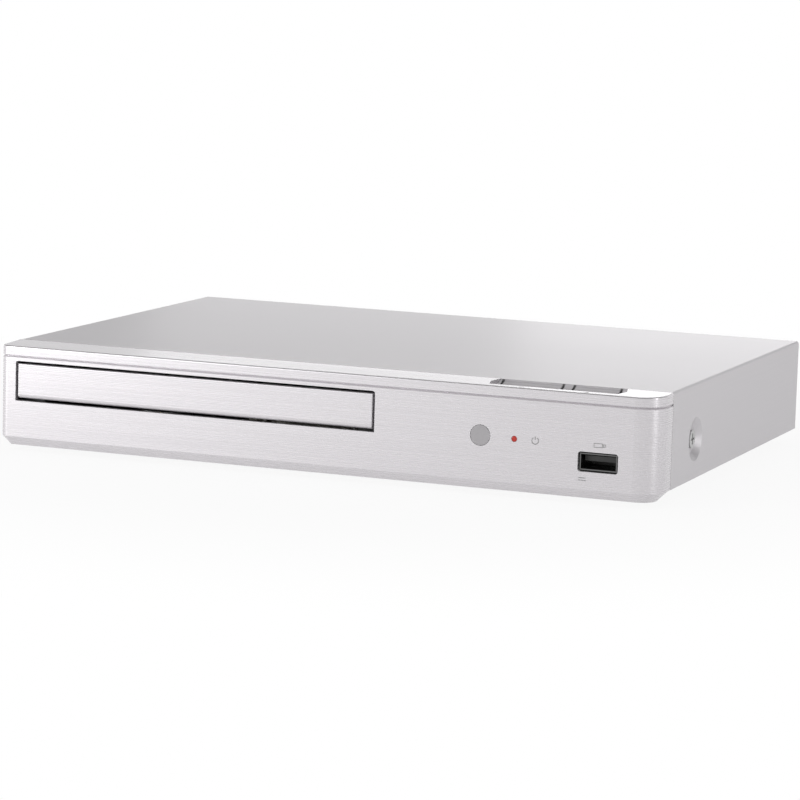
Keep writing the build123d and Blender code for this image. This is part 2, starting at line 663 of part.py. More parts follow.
def plan_outline(inset, rear, z):
    """The moulding in plan at a level, drawn in by inset at its front and sides, and ending at rear."""
    front = FRONT + inset
    outline = Pos(0, (front + rear) / 2) * Rectangle(WIDTH - 2 * inset, rear - front)
    left = outline.vertices().group_by(Axis.Y)[0].sort_by(Axis.X)[0]
    outline = fillet(left, max(PANEL_LEFT_CORNER - inset, DOOR_EDGE))
    right = outline.vertices().group_by(Axis.Y)[0].sort_by(Axis.X)[-1]
    outline = fillet(right, max(PANEL_RIGHT_CORNER - inset, DOOR_EDGE))
    return Pos(0, 0, z) * outline


def front_lip():
    """The lip under the front face, slanting inwards to its lower edge on all sides."""
    top = UNDERSIDE + PANEL_RISE
    rear = FRONT + LIP_DEPTH
    foot = plan_outline(LIP_SETBACK, rear - LIP_SETBACK, top - LIP_DROP)
    return loft([plan_outline(0, rear, top), foot], ruled=True)


def front_groove():
    """The groove line round the front and the sides: a V whose point lies GROOVE_DEPTH in."""
    middle = TOP - GROOVE_DROP
    levels = (middle - GROOVE_WIDTH / 2, middle + GROOVE_WIDTH / 2)
    point = plan_outline(GROOVE_DEPTH, SEAM, middle)
    groove = panel_body(0, *levels)
    for level in levels:
        groove -= loft([point, plan_outline(0, SEAM, level)], ruled=True)
    return groove


def front_panel():
    """The front moulding with its groove, lip, openings and bosses."""
    low = UNDERSIDE + PANEL_RISE
    outer = panel_body(0, low, TOP) - strip_cut(0)
    strip = outer.faces().sort_by(Axis.Z)[-1]
    panel = fillet(strip.edges().sort_by(Axis.Y)[:-1], PANEL_EDGE)
    seat = UNDERSIDE - CASE_GAP
    panel += front_lip()
    panel -= panel_body(PANEL_WALL, seat, TOP) - strip_cut(PANEL_WALL)
    panel -= front_groove()
    for x in BOSS_PLACES:
        place = (x, FLOOR + BOSS_LEVEL)
        boss = along_y(BOSS_RADIUS, (FRONT + PANEL_WALL, FRONT_BOARD_Y), place)
        deep = (FRONT_BOARD_Y - SCREW_LENGTH, FRONT_BOARD_Y)
        panel += boss - along_y(SCREW_RADIUS + SHAFT_GAP, deep, place)
    return panel - front_openings()


def front_openings():
    """The cuts for the tray door, window, lamp, USB socket and key insert."""
    wall = (FRONT, FRONT + PANEL_WALL)
    width = DOOR_WIDTH + 2 * DOOR_GAP
    height = DOOR_HEIGHT + 2 * DOOR_GAP
    door = Pos(DRIVE_X, DOOR_Z + DOOR_HEIGHT / 2) * Rectangle(width, height)
    door = fillet(door.vertices().group_by(Axis.Y)[-1], OPENING_CORNER)
    usb = Pos(USB_X, USB_Z) * RectangleRounded(USB_OPENING_WIDTH, USB_OPENING_HEIGHT, USB_OPENING_CORNER)
    cuts = [prism_y(door, wall), prism_y(usb, wall)]
    cuts.append(along_y(WINDOW_RADIUS, wall, (WINDOW_X, WINDOW_Z)))
    cuts.append(along_y(LAMP_RADIUS + SEAT_GAP / 2, wall, (LAMP_X, LAMP_Z)))
    cuts.append(prism_z(bezel_outline(0), (BEZEL_LOW - PANEL_WALL, TOP)))
    return cuts


def bezel_outline(inset):
    """Outline of the key insert seen from above, drawn in by inset, with its two pointed ends."""
    left, right = KEY_BEZEL_LEFT + inset, KEY_BEZEL_RIGHT - inset
    front, rear = BEZEL_FRONT + inset, SEAM - inset
    tip = (front + rear) / 2
    points = [(right - KEY_BEZEL_POINT, front), (right, tip), (right - KEY_BEZEL_POINT, rear)]
    points += [(left + KEY_BEZEL_POINT, rear), (left, tip), (left + KEY_BEZEL_POINT, front)]
    return Polygon(*points, align=None)


def key_scoop():
    """The hollow over the insert and its keys: a ramp down from the front, then an arc up at the rear."""
    low = TOP - KEY_SCOOP_DEPTH
    turn = SEAM - sqrt(KEY_SCOOP_RADIUS**2 - (KEY_SCOOP_RADIUS - KEY_SCOOP_DEPTH) ** 2)
    start = TOP - PANEL_SLOPE * (SEAM - BEZEL_FRONT) / PANEL_DEPTH
    above = TOP + KEY_SCOOP_RADIUS
    long = (KEY_BEZEL_LEFT, KEY_BEZEL_RIGHT)
    ramp = prism_x(((BEZEL_FRONT, start), (turn, low), (turn, above), (BEZEL_FRONT, above)), long)
    return ramp + along_x(KEY_SCOOP_RADIUS, long, (turn, low + KEY_SCOOP_RADIUS))


def key_block(ends, end_gap, inset, z):
    """A block in a key's place, drawn in by end_gap at its ends and by inset from the insert's long edges."""
    return block((ends[0] + end_gap, ends[1] - end_gap), (BEZEL_FRONT + inset, SEAM - inset), z)


def key_bezel():
    """The hollowed insert in the top strip that frames the two keys."""
    plate = prism_z(bezel_outline(SEAT_GAP), (BEZEL_LOW, TOP)) - key_scoop()
    for ends in (KEY_1, KEY_2):
        plate -= key_block(ends, 0, KEY_RIM, (BEZEL_LOW, TOP))
    return plate


def top_key(ends):
    """A key with its hollowed top, a flange that keeps it under the insert and a stem down to its switch."""
    flange_top = BEZEL_LOW - SEAT_GAP
    flange_low = flange_top - KEY_FLANGE
    key = key_block(ends, KEY_GAP, KEY_RIM + KEY_GAP, (flange_low, TOP)) - key_scoop()
    key += key_block(ends, RUN_GAP, SEAT_GAP + RUN_GAP, (flange_low, flange_top))
    stem = (SWITCH_TOP - STEM_DIP, flange_top)
    return key + upright(KEY_STEM_RADIUS, stem, (sum(ends) / 2, KEY_Y))


def key_switches():
    """The two switches on the front board, each with a well for its key's stem."""
    half = SWITCH_SIZE / 2
    switches = []
    for left, right in (KEY_1, KEY_2):
        x = (left + right) / 2
        tall = (SWITCH_TOP - SWITCH_HEIGHT, SWITCH_TOP)
        body = block((x - half, x + half), (KEY_Y - half, FRONT_BOARD_Y), tall)
        well = (SWITCH_TOP - STEM_DIP - KEY_TRAVEL - RUN_GAP, SWITCH_TOP)
        switches.append(body - upright(KEY_STEM_RADIUS + RUN_GAP, well, (x, KEY_Y)))
    return group(switches)


def ir_window():
    """The round window of the remote-control receiver, with a rim behind the panel."""
    place = (WINDOW_X, WINDOW_Z)
    face = along_y(WINDOW_RADIUS - SEAT_GAP, (FRONT, FRONT + PANEL_WALL), place)
    face = fillet(face.edges().group_by(Axis.Y)[0], SEAT_GAP)
    rim = (FRONT + PANEL_WALL, FRONT + PANEL_WALL + WINDOW_RIM)
    return face + along_y(WINDOW_RADIUS + WINDOW_RIM, rim, place)


def ir_receiver():
    """The receiver on the front board, its dome facing the window."""
    half = WINDOW_RADIUS - WINDOW_RIM
    back = FRONT_BOARD_Y
    front = (FRONT + PANEL_WALL + WINDOW_RIM + back) / 2
    body = block((WINDOW_X - half, WINDOW_X + half), (front, back), (WINDOW_Z - half, WINDOW_Z + half))
    return body + Pos(WINDOW_X, front, WINDOW_Z) * Sphere(half - SEAT_GAP)


def lamp_lens():
    """The clear rod that brings the lamp's light to the front face."""
    end = FRONT_BOARD_Y - 2 * LAMP_BULB_RADIUS - SEAT_GAP
    rod = along_y(LAMP_RADIUS, (FRONT, end), (LAMP_X, LAMP_Z))
    return fillet(rod.edges().group_by(Axis.Y)[0], LAMP_RADIUS / 3)


def lamp():
    """The small lamp on the front board behind its lens."""
    start = FRONT_BOARD_Y - 2 * LAMP_BULB_RADIUS
    return along_y(LAMP_BULB_RADIUS, (start, FRONT_BOARD_Y), (LAMP_X, LAMP_Z))


def usb_shell():
    """The folded metal shell of the USB socket, open to the front."""
    back = FRONT_BOARD_Y
    front = FRONT + USB_SETBACK
    x = (USB_X - USB_WIDTH / 2, USB_X + USB_WIDTH / 2)
    z = (USB_Z - USB_HEIGHT / 2, USB_Z + USB_HEIGHT / 2)
    hollow_x = (x[0] + USB_SKIN, x[1] - USB_SKIN)
    hollow_z = (z[0] + USB_SKIN, z[1] - USB_SKIN)
    return block(x, (front, back), z) - block(hollow_x, (front, back), hollow_z)


def socket_tongues():
    """The plastic tongues inside the USB socket and the HDMI socket, each on a closing block."""
    half = USB_WIDTH / 2 - USB_SKIN - SEAT_GAP
    tall = USB_HEIGHT / 2 - USB_SKIN - SEAT_GAP
    back = FRONT_BOARD_Y
    start = back - 2 * TONGUE_THICKNESS
    usb = block((USB_X - half, USB_X + half), (start, back), (USB_Z - tall, USB_Z + tall))
    slim = half - TONGUE_SIDE_GAP
    top = USB_Z + tall - TONGUE_SIDE_GAP
    reach = (FRONT + USB_SETBACK + TONGUE_SETBACK, start)
    usb += block((USB_X - slim, USB_X + slim), reach, (top - TONGUE_THICKNESS, top))
    half = HDMI_WIDTH / 2 - HDMI_SKIN - SEAT_GAP
    low = BOARD_TOP + HDMI_SKIN + SEAT_GAP
    high = BOARD_TOP + HDMI_HEIGHT - HDMI_SKIN - SEAT_GAP
    inner = REAR_FACE + SOCKET_PROUD - HDMI_LENGTH
    edge = hdmi_outline(HDMI_SKIN + SEAT_GAP)
    hdmi = prism_y(edge, (inner, inner + TONGUE_THICKNESS))
    middle = (low + high + TONGUE_THICKNESS / 2) / 2
    slim = half - 2 * TONGUE_SIDE_GAP
    reach = (inner + TONGUE_THICKNESS, REAR_FACE + SOCKET_PROUD - TONGUE_SETBACK)
    thick = TONGUE_THICKNESS / 4
    hdmi += block((HDMI_X - slim, HDMI_X + slim), reach, (middle - thick, middle + thick))
    return group([usb, hdmi])


def front_board():
    """The upright board behind the front, with screw holes over the panel's bosses."""
    half = FRONT_BOARD_WIDTH / 2
    low = FLOOR + FRONT_BOARD_LOW
    thick = (FRONT_BOARD_Y, FRONT_BOARD_Y + BOARD)
    board = block((FRONT_BOARD_X - half, FRONT_BOARD_X + half), thick, (low, low + FRONT_BOARD_HEIGHT))
    return board - [along_y(SCREW_RADIUS + SHAFT_GAP, thick, (x, FLOOR + BOSS_LEVEL)) for x in BOSS_PLACES]


# Circuit boards
def board_screw_places():
    """Where the main and the power board are screwed down: four places each."""
    places = []
    for left, right in ((MAIN_BOARD_LEFT, MAIN_BOARD_RIGHT), (POWER_BOARD_LEFT, POWER_BOARD_RIGHT)):
        for x in (left + BOARD_SCREW_INSET, right - BOARD_SCREW_INSET):
            for y in (BOARD_FRONT + BOARD_SCREW_INSET, BOARD_REAR - BOARD_SCREW_TAIL):
                places.append((x, y))
    return places


def flat_board(left, right):
    """A board on its posts, with a hole over each."""
    board = block((left, right), (BOARD_FRONT, BOARD_REAR), (BOARD_Z, BOARD_TOP))
    hole = BOARD_SCREW_RADIUS + SHAFT_GAP
    return board - [upright(hole, (BOARD_Z, BOARD_TOP), at) for at in board_screw_places()]


def board_screws():
    """The screws of the main board, the power board and the front board."""
    flat = [
        screw_down(at, BOARD_TOP, BOARD_LIFT, BOARD_SCREW_RADIUS, SCREW_HEAD_RADIUS, SCREW_HEAD)
        for at in board_screw_places()
    ]
    plain = screw_down((0, 0), 0, SCREW_LENGTH, SCREW_RADIUS, SCREW_HEAD_RADIUS, SCREW_HEAD)
    face = FRONT_BOARD_Y + BOARD
    upright_ones = [Pos(x, face, FLOOR + BOSS_LEVEL) * Rot(-90, 0, 0) * plain for x in BOSS_PLACES]
    return group(flat + upright_ones)


def processor():
    """The main chip."""
    half = CHIP_SIZE / 2
    y = FRONT + CHIP_SETBACK
    return block((CHIP_X - half, CHIP_X + half), (y - half, y + half), (BOARD_TOP, BOARD_TOP + CHIP_HEIGHT))


def heat_sink():
    """A finned plate standing on the main chip."""
    half = SINK_SIZE / 2
    y = FRONT + CHIP_SETBACK
    low = BOARD_TOP + CHIP_HEIGHT
    deep = (y - half, y + half)
    sink = block((CHIP_X - half, CHIP_X + half), deep, (low, low + SINK_BASE))
    pitch = (SINK_SIZE - FIN_THICKNESS) / (FIN_COUNT - 1)
    for number in range(FIN_COUNT):
        x = CHIP_X - half + number * pitch
        sink += block((x, x + FIN_THICKNESS), deep, (low + SINK_BASE, low + SINK_HEIGHT))
    return sink


def memory_chips():
    """Two memory chips in front of the main chip."""
    y = FRONT + MEMORY_SETBACK
    deep = (y - MEMORY_LENGTH / 2, y + MEMORY_LENGTH / 2)
    chips = []
    for side in (-1, 1):
        x = CHIP_X + side * MEMORY_SPACING / 2
        wide = (x - MEMORY_WIDTH / 2, x + MEMORY_WIDTH / 2)
        chips.append(block(wide, deep, (BOARD_TOP, BOARD_TOP + MEMORY_HEIGHT)))
    return group(chips)


def transformer():
    """The transformer on the power board: a wound bobbin inside a square core."""
    x = (POWER_BOARD_LEFT + POWER_BOARD_RIGHT) / 2
    y = FRONT + TRANSFORMER_SETBACK
    half = TRANSFORMER_SIZE / 2
    core = TRANSFORMER_CORE / 2
    body = block((x - half, x + half), (y - core, y + core), (BOARD_TOP, BOARD_TOP + TRANSFORMER_HEIGHT))
    inset = SINK_BASE
    wound = (BOARD_TOP + inset, BOARD_TOP + TRANSFORMER_HEIGHT - inset)
    return body + block((x - half + inset, x + half - inset), (y - half, y + half), wound)


def capacitors():
    """A row of round capacitors on the power board, their top edges rounded."""
    middle = (POWER_BOARD_LEFT + POWER_BOARD_RIGHT) / 2
    cans = []
    for number in range(CAPACITOR_COUNT):
        y = FRONT + CAPACITOR_SETBACK
        x = middle + (number - (CAPACITOR_COUNT - 1) / 2) * CAPACITOR_PITCH
        can = upright(CAPACITOR_RADIUS, (BOARD_TOP, BOARD_TOP + CAPACITOR_HEIGHT), (x, y))
        cans.append(fillet(can.edges().group_by(Axis.Z)[-1], WINDOW_RIM))
    return group(cans)


def cable_sockets():
    """The sockets that the flat cables plug into."""
    half = CABLE_WIDTH / 2 + WINDOW_RIM
    tall = CABLE_SOCKET_HEIGHT
    deep = CABLE_SOCKET_DEPTH
    on_board = (BOARD_TOP, BOARD_TOP + tall)
    level = FLOOR + FRONT_CABLE_LEVEL
    face = FRONT_BOARD_Y + BOARD
    front_x = (FRONT_CABLE_X - half, FRONT_CABLE_X + half)
    power_y = (FRONT + POWER_CABLE_SETBACK - half, FRONT + POWER_CABLE_SETBACK + half)
    drive_y = (FRONT + DRIVE_CABLE_SETBACK - half, FRONT + DRIVE_CABLE_SETBACK + half)
    pieces = [
        block(front_x, (face, face + tall), (level - deep / 2, level + deep / 2)),
        block(front_x, (BOARD_FRONT, BOARD_FRONT + deep), on_board),
        block((POWER_BOARD_LEFT, POWER_BOARD_LEFT + deep), power_y, on_board),
        block((MAIN_BOARD_RIGHT - deep, MAIN_BOARD_RIGHT), power_y, on_board),
        block((MAIN_BOARD_LEFT, MAIN_BOARD_LEFT + deep), drive_y, on_board),
    ]
    return group(pieces)


def ribbon(points, width_along):
    """A flat cable along bent points: straight runs joined by bends, its width along the given direction."""
    path = FilletPolyline(*points, radius=CABLE_BEND)
    start = Plane(origin=path @ 0, x_dir=width_along, z_dir=path % 0)
    return sweep(start * Rectangle(CABLE_WIDTH, CABLE), path=path)


def flat_cables():
    """The cables from the front board, the power board and the drive to the main board."""
    socket = BOARD_TOP + CABLE_SOCKET_HEIGHT
    crest = socket + 3 * CABLE_BEND
    middle = CABLE_SOCKET_DEPTH / 2
    level = FLOOR + FRONT_CABLE_LEVEL
    face = FRONT_BOARD_Y + BOARD + CABLE_SOCKET_HEIGHT
    x = FRONT_CABLE_X
    landing = BOARD_FRONT + middle
    front = [(x, face, level), (x, landing, level), (x, landing, socket)]
    y = FRONT + POWER_CABLE_SETBACK
    right = POWER_BOARD_LEFT + middle
    left = MAIN_BOARD_RIGHT - middle
    power = [(right, y, socket), (right, y, crest), (left, y, crest), (left, y, socket)]
    y = FRONT + DRIVE_CABLE_SETBACK
    clip = DRIVE_X + RAIL_OUTSIDE
    landing = MAIN_BOARD_LEFT + middle
    drive = [(clip, y, crest), (landing, y, crest), (landing, y, socket)]
    return group([ribbon(front, (1, 0, 0)), ribbon(power, (0, 1, 0)), ribbon(drive, (0, 1, 0))])


# Rear sockets
def ac_inlet():
    """The mains inlet: a block with a deep recess of two joined rounds."""
    low = BOARD_TOP
    x = (INLET_X - INLET_WIDTH / 2, INLET_X + INLET_WIDTH / 2)
    face = REAR_FACE + SOCKET_PROUD
    body = block(x, (face - INLET_LENGTH, face), (low, low + INLET_HEIGHT))
    recess = SlotCenterToCenter(INLET_PIN_SPACING, 2 * INLET_RECESS_RADIUS)
    return body - prism_y(Pos(INLET_X, low + INLET_HEIGHT / 2) * recess, (face - INLET_RECESS, face))


def inlet_pins():
    """The two pins of the mains inlet."""
    floor = REAR_FACE + SOCKET_PROUD - INLET_RECESS
    z = BOARD_TOP + INLET_HEIGHT / 2
    span = (floor, floor + INLET_PIN_LENGTH)
    half = INLET_PIN_SPACING / 2
    return group([along_y(INLET_PIN_RADIUS, span, (INLET_X + side * half, z)) for side in (-1, 1)])


def hdmi_outline(inset):
    """The outline of the HDMI socket, its lower corners cut off, drawn in by inset."""
    half = HDMI_WIDTH / 2 - inset
    low = BOARD_TOP + inset
    high = BOARD_TOP + HDMI_HEIGHT - inset
    cut = HDMI_CORNER
    left = [(-half, high), (-half, low + cut), (-half + cut, low)]
    right = [(half - cut, low), (half, low + cut), (half, high)]
    return Polygon(*[(HDMI_X + x, z) for x, z in left + right], align=None)


def hdmi_shell():
    """The metal shell of the HDMI socket, open to the rear."""
    face = REAR_FACE + SOCKET_PROUD
    span = (face - HDMI_LENGTH, face)
    return prism_y(hdmi_outline(0), span) - prism_y(hdmi_outline(HDMI_SKIN), span)


def lan_socket():
    """The network socket with its stepped mouth."""
    face = REAR_FACE + SOCKET_PROUD
    low = BOARD_TOP
    half = LAN_WIDTH / 2
    body = block((LAN_X - half, LAN_X + half), (face - LAN_LENGTH, face), (low, low + LAN_HEIGHT))
    mouth = low + LAN_MOUTH_LEVEL
    deep = (face - LAN_MOUTH_DEPTH, face)
    half = LAN_MOUTH_WIDTH / 2
    body -= block((LAN_X - half, LAN_X + half), deep, (mouth, mouth + LAN_MOUTH_HEIGHT))
    half = LAN_LATCH_WIDTH / 2
    latch_top = mouth + LAN_MOUTH_HEIGHT + LAN_LATCH_HEIGHT
    return body - block((LAN_X - half, LAN_X + half), deep, (mouth, latch_top))


def coax_body():
    """The block of the coaxial jack with the insulator that fills its barrel."""
    z = BOARD_TOP + COAX_HEIGHT / 2
    half = COAX_WIDTH / 2
    deep = (REAR_INSIDE - COAX_LENGTH, REAR_INSIDE)
    body = block((COAX_X - half, COAX_X + half), deep, (BOARD_TOP, BOARD_TOP + COAX_HEIGHT))
    core = JACK_RADIUS - JACK_WALL - SHAFT_GAP
    end = REAR + JACK_STANDOUT
    body += along_y(core, (REAR_INSIDE, end - JACK_WALL), (COAX_X, z))
    return body - along_y(JACK_HOLE_RADIUS, (REAR_INSIDE - COAX_LENGTH / 2, end), (COAX_X, z))


def coax_barrel():
    """The metal barrel of the coaxial jack."""
    z = BOARD_TOP + COAX_HEIGHT / 2
    span = (REAR_INSIDE, REAR + JACK_STANDOUT)
    barrel = along_y(JACK_RADIUS, span, (COAX_X, z))
    barrel = fillet(barrel.edges().group_by(Axis.Y)[-1], JACK_WALL / 3)
    return barrel - along_y(JACK_RADIUS - JACK_WALL, span, (COAX_X, z))


# Loader and tray
def drive_box(x, y, z):
    """A box whose x is counted from the drive's middle."""
    return block((DRIVE_X + x[0], DRIVE_X + x[1]), y, z)


def frame_screw_places():
    """Where the loader frame is screwed down: its four corners."""
    half = RAIL_INSIDE - FRAME_SCREW_INSET
    rows = (FRAME_FRONT + FRAME_SCREW_SETBACK, FRAME_REAR - FRAME_SCREW_SETBACK)
    return [(DRIVE_X + side * half, y) for side in (-1, 1) for y in rows]


def bridge_screw_places():
    """Where the clamp bridge is screwed to the rails."""
    half = RAIL_INSIDE + RAIL_WALL / 2
    reach = BRIDGE_DEPTH / 3
    return [(DRIVE_X + side * half, SPINDLE_Y + end * reach) for side in (-1, 1) for end in (-1, 1)]


def loader_frame():
    """The loader's frame: two rails that guide the tray, a front plate for the gears and a rear plate."""
    long = (FRAME_FRONT, FRAME_REAR)
    front_end = CAM_Y - RUN_GAP
    rear_start = HINGE_Y - TILT_BAR / 2
    frame = drive_box((-RAIL_INSIDE, RAIL_INSIDE), (FRAME_FRONT, front_end), (FRAME_Z, PLATE_TOP))
    frame += drive_box((-RAIL_INSIDE, RAIL_INSIDE), (rear_start, FRAME_REAR), (FRAME_Z, PLATE_TOP))
    for side in (-1, 1):
        wall = sorted((side * RAIL_INSIDE, side * RAIL_OUTSIDE))
        frame += drive_box(wall, long, (FRAME_Z, RAIL_TOP))
        ledge = sorted((side * RAIL_INSIDE, side * (RAIL_INSIDE - LEDGE_REACH)))
        frame += drive_box(ledge, long, (LEDGE_Z, LEDGE_TOP))
        hold = sorted((side * RAIL_INSIDE, side * (RAIL_INSIDE - HOLD_DOWN_REACH)))
        for start in HOLD_DOWN_PLACES:
            span = (FRONT + start, FRONT + start + HOLD_DOWN_LENGTH)
            frame += drive_box(hold, span, (RAIL_TOP - HOLD_DOWN, RAIL_TOP))
        post = sorted((side * (TILT_HALF + RUN_GAP), side * (TILT_HALF + HINGE_PIN_LENGTH + RUN_GAP)))
        reach = HINGE_PIN_RADIUS + HINGE_POST / 2
        frame += drive_box(post, (HINGE_Y - reach, HINGE_Y + reach), (FRAME_Z, PIVOT_Z + reach))
    frame += gear_posts() + cam_guide()
    hinge = (DRIVE_X - RAIL_INSIDE, DRIVE_X + RAIL_INSIDE)
    frame -= along_x(HINGE_PIN_RADIUS + SHAFT_GAP, hinge, (HINGE_Y, PIVOT_Z))
    frame -= upright(MOTOR_RADIUS + SEAT_GAP, (FRAME_Z, PLATE_TOP), (MOTOR_X, GEAR_Y))
    hole = SCREW_RADIUS + SHAFT_GAP
    frame -= [upright(hole, (FRAME_Z, PLATE_TOP), at) for at in frame_screw_places()]
    frame -= [upright(hole, (RAIL_TOP - SCREW_LENGTH, RAIL_TOP), at) for at in bridge_screw_places()]
    return frame


def gear_posts():
    """The fixed posts that the two gears turn on."""
    tops = ((DRIVE_GEAR_X, TRAY_Z - PASS_GAP), (PULLEY_GEAR_X, PULLEY_TOP))
    return [upright(GEAR_POST_RADIUS, (PLATE_TOP, top), (x, GEAR_Y)) for x, top in tops]


def cam_guide():
    """The rib that keeps the cam slider's foot in line."""
    rear = CAM_Y - CAM_FOOT - RUN_GAP
    half = CAM_PIN_SPACING / 2 + CAM_TRAVEL
    tall = (PLATE_TOP, PLATE_TOP + RUN_GAP + CAM_FOOT_THICKNESS)
    return [drive_box((-half, half), (rear - CAM_GUIDE, rear), tall)]


def loader_screws():
    """The screws of the loader frame and of the clamp bridge."""
    sizes = (SCREW_RADIUS, SCREW_HEAD_RADIUS, SCREW_HEAD)
    low = [screw_down(at, PLATE_TOP, FRAME_PLATE + FRAME_LIFT, *sizes) for at in frame_screw_places()]
    bridge_top = BRIDGE_Z + BRIDGE_THICKNESS
    high = [screw_down(at, bridge_top, SCREW_LENGTH, *sizes) for at in bridge_screw_places()]
    return group(low + high)


def tray():
    """The disc tray: stepped round recess, slot open to the rear, front wall and a rack underneath."""
    half = TRAY_WIDTH / 2
    plate = drive_box((-half, half), (TRAY_FRONT, TRAY_REAR), (TRAY_Z, TRAY_TOP))
    plate = fillet(plate.edges().filter_by(Axis.Z).group_by(Axis.Y)[-1], TRAY_CORNER)
    centre = (DRIVE_X, SPINDLE_Y)
    floor = TRAY_Z + TRAY_FLOOR
    plate -= upright(RECESS_RADIUS, (floor, TRAY_TOP), centre)
    plate -= upright(SMALL_DISC_RADIUS + DISC_ROOM, (floor - SMALL_DISC_STEP, TRAY_TOP), centre)
    slot = TRAY_SLOT / 2
    plate -= drive_box((-slot, slot), (SPINDLE_Y, TRAY_REAR), (TRAY_Z, TRAY_TOP))
    plate -= upright(slot, (TRAY_Z, TRAY_TOP), centre)
    wall = (TRAY_FRONT, TRAY_FRONT + TRAY_WALL)
    wall_half = half - TRAY_CORNER / 2
    wall_top = DOOR_Z + DOOR_HEIGHT - TRAY_WALL_DROP
    plate += drive_box((-wall_half, wall_half), wall, (TRAY_TOP, wall_top))
    return plate + prism_z(rack_outline(), (RACK_Z, TRAY_Z))


def rack_outline():
    """A straight rack along Y, teeth towards the drive gear, with a gap opposite the gear at rest."""
    pitch_line = DRIVE_X + RACK_OFFSET
    tip = pitch_line - ADDENDUM * MODULE
    root = pitch_line + DEDENDUM * MODULE
    step = pi * MODULE
    slant = tan(radians(PRESSURE_ANGLE))
    half = step / 4 - BACKLASH / 4
    at_tip = half - ADDENDUM * MODULE * slant
    at_root = half + DEDENDUM * MODULE * slant
    count = ceil(TRAY_TRAVEL / step) + 3
    first = GEAR_Y - 1.5 * step
    points = []
    for tooth in range(count):
        y = first + tooth * step
        points += [(root, y - at_root), (tip, y - at_tip), (tip, y + at_tip), (root, y + at_root)]
    back = root + RACK_BACK
    points += [(back, points[-1][1]), (back, points[0][1])]
    return make_face(Polyline(*points, close=True))


def tray_door():
    """The door on the tray's front: its lower edge is softly rounded, the others a little."""
    half = DOOR_WIDTH / 2
    door = drive_box((-half, half), (FRONT, TRAY_FRONT), (DOOR_Z, DOOR_Z + DOOR_HEIGHT))
    face = door.edges().group_by(Axis.Y)[0]
    low = face.sort_by(Axis.Z)[0]
    door = fillet(low, DOOR_SOFT_EDGE)
    face = door.faces().sort_by(Axis.Y)[0].edges().sort_by(Axis.Z)
    return fillet(face[1:], DOOR_EDGE)


# Gears, pulleys and motor
def gear_outline(teeth, turn):
    """An involute gear seen along its axis, its flanks in chords, turned by so many degrees."""
    pitch = MODULE * teeth / 2
    pressure = radians(PRESSURE_ANGLE)
    base = pitch * cos(pressure)
    tip = pitch + ADDENDUM * MODULE
    root = pitch - DEDENDUM * MODULE
    half = (pi * MODULE / 2 - BACKLASH / 2) / (2 * pitch) + tan(pressure) - pressure
    start = max(base, root)
    flank = []
    for step in range(FLANK_STEPS + 1):
        radius = start + (tip - start) * step / FLANK_STEPS
        roll = acos(min(1.0, base / radius))
        flank.append((radius, half - tan(roll) + roll))
    if root < base:
        flank.insert(0, (root, half))
    side = [(radius, -angle) for radius, angle in flank] + flank[::-1]
    points = []
    for tooth in range(teeth):
        middle = 2 * pi * tooth / teeth + radians(turn)
        points += [(radius * cos(middle + angle), radius * sin(middle + angle)) for radius, angle in side]
    return make_face(Polyline(*points, close=True))


def gear(teeth, z, at, turn=0.0):
    """A spur gear over the heights z, centred on at = (x, y)."""
    return Pos(at[0], at[1], 0) * prism_z(gear_outline(teeth, turn), z)


def drive_gear():
    """The large gear with the pinion that drives the rack above it, on a hub round its post."""
    at = (DRIVE_GEAR_X, GEAR_Y)
    top = TRAY_Z - PASS_GAP
    wheel = gear(DRIVE_TEETH, (GEAR_Z, GEAR_TOP), at)
    wheel += gear(PINION_TEETH, (GEAR_TOP, top), at)
    wheel += upright(GEAR_POST_RADIUS + GEAR_HUB_WALL, (PLATE_TOP + RUN_GAP, GEAR_Z), at)
    return wheel - upright(GEAR_POST_RADIUS + SHAFT_GAP, (PLATE_TOP, top), at)


def grooved(groove, z, at):
    """A pulley with a square groove between two rims."""
    rim = groove + PULLEY_FLANGE
    pulley = upright(rim, (z[0], z[0] + PULLEY_RIM), at) + upright(groove, z, at)
    return pulley + upright(rim, (z[1] - PULLEY_RIM, z[1]), at)


def pulley_gear():
    """The belt pulley with the small gear below it, on a hub round its post."""
    at = (PULLEY_GEAR_X, GEAR_Y)
    wheel = grooved(PULLEY_GROOVE_RADIUS, (PULLEY_Z, PULLEY_TOP), at)
    wheel += gear(PULLEY_PINION_TEETH, (GEAR_Z, PULLEY_Z), at, 180.0 / PULLEY_PINION_TEETH)
    wheel += upright(GEAR_POST_RADIUS + GEAR_HUB_WALL, (PLATE_TOP + RUN_GAP, GEAR_Z), at)
    return wheel - upright(GEAR_POST_RADIUS + SHAFT_GAP, (PLATE_TOP, PULLEY_TOP), at)


def loading_motor():
    """The loading motor: a can through the front plate with a flange on top of it."""
    at = (MOTOR_X, GEAR_Y)
    top = PULLEY_Z - PASS_GAP
    can = upright(MOTOR_RADIUS, (FLOOR + PASS_GAP, top), at)
    can = fillet(can.edges(), WINDOW_RIM)
    can += upright(MOTOR_RADIUS + MOTOR_FLANGE, (PLATE_TOP, PLATE_TOP + MOTOR_FLANGE_THICKNESS), at)
    return can - upright(MOTOR_SHAFT_RADIUS + SHAFT_GAP, (top - MOTOR_SHAFT_DEPTH - RUN_GAP, top), at)


def motor_pulley():
    """The small pulley on the loading motor's shaft."""
    at = (MOTOR_X, GEAR_Y)
    pulley = grooved(MOTOR_GROOVE_RADIUS, (PULLEY_Z, PULLEY_TOP), at)
    return pulley + upright(MOTOR_SHAFT_RADIUS, (PULLEY_Z - PASS_GAP - MOTOR_SHAFT_DEPTH, PULLEY_Z), at)


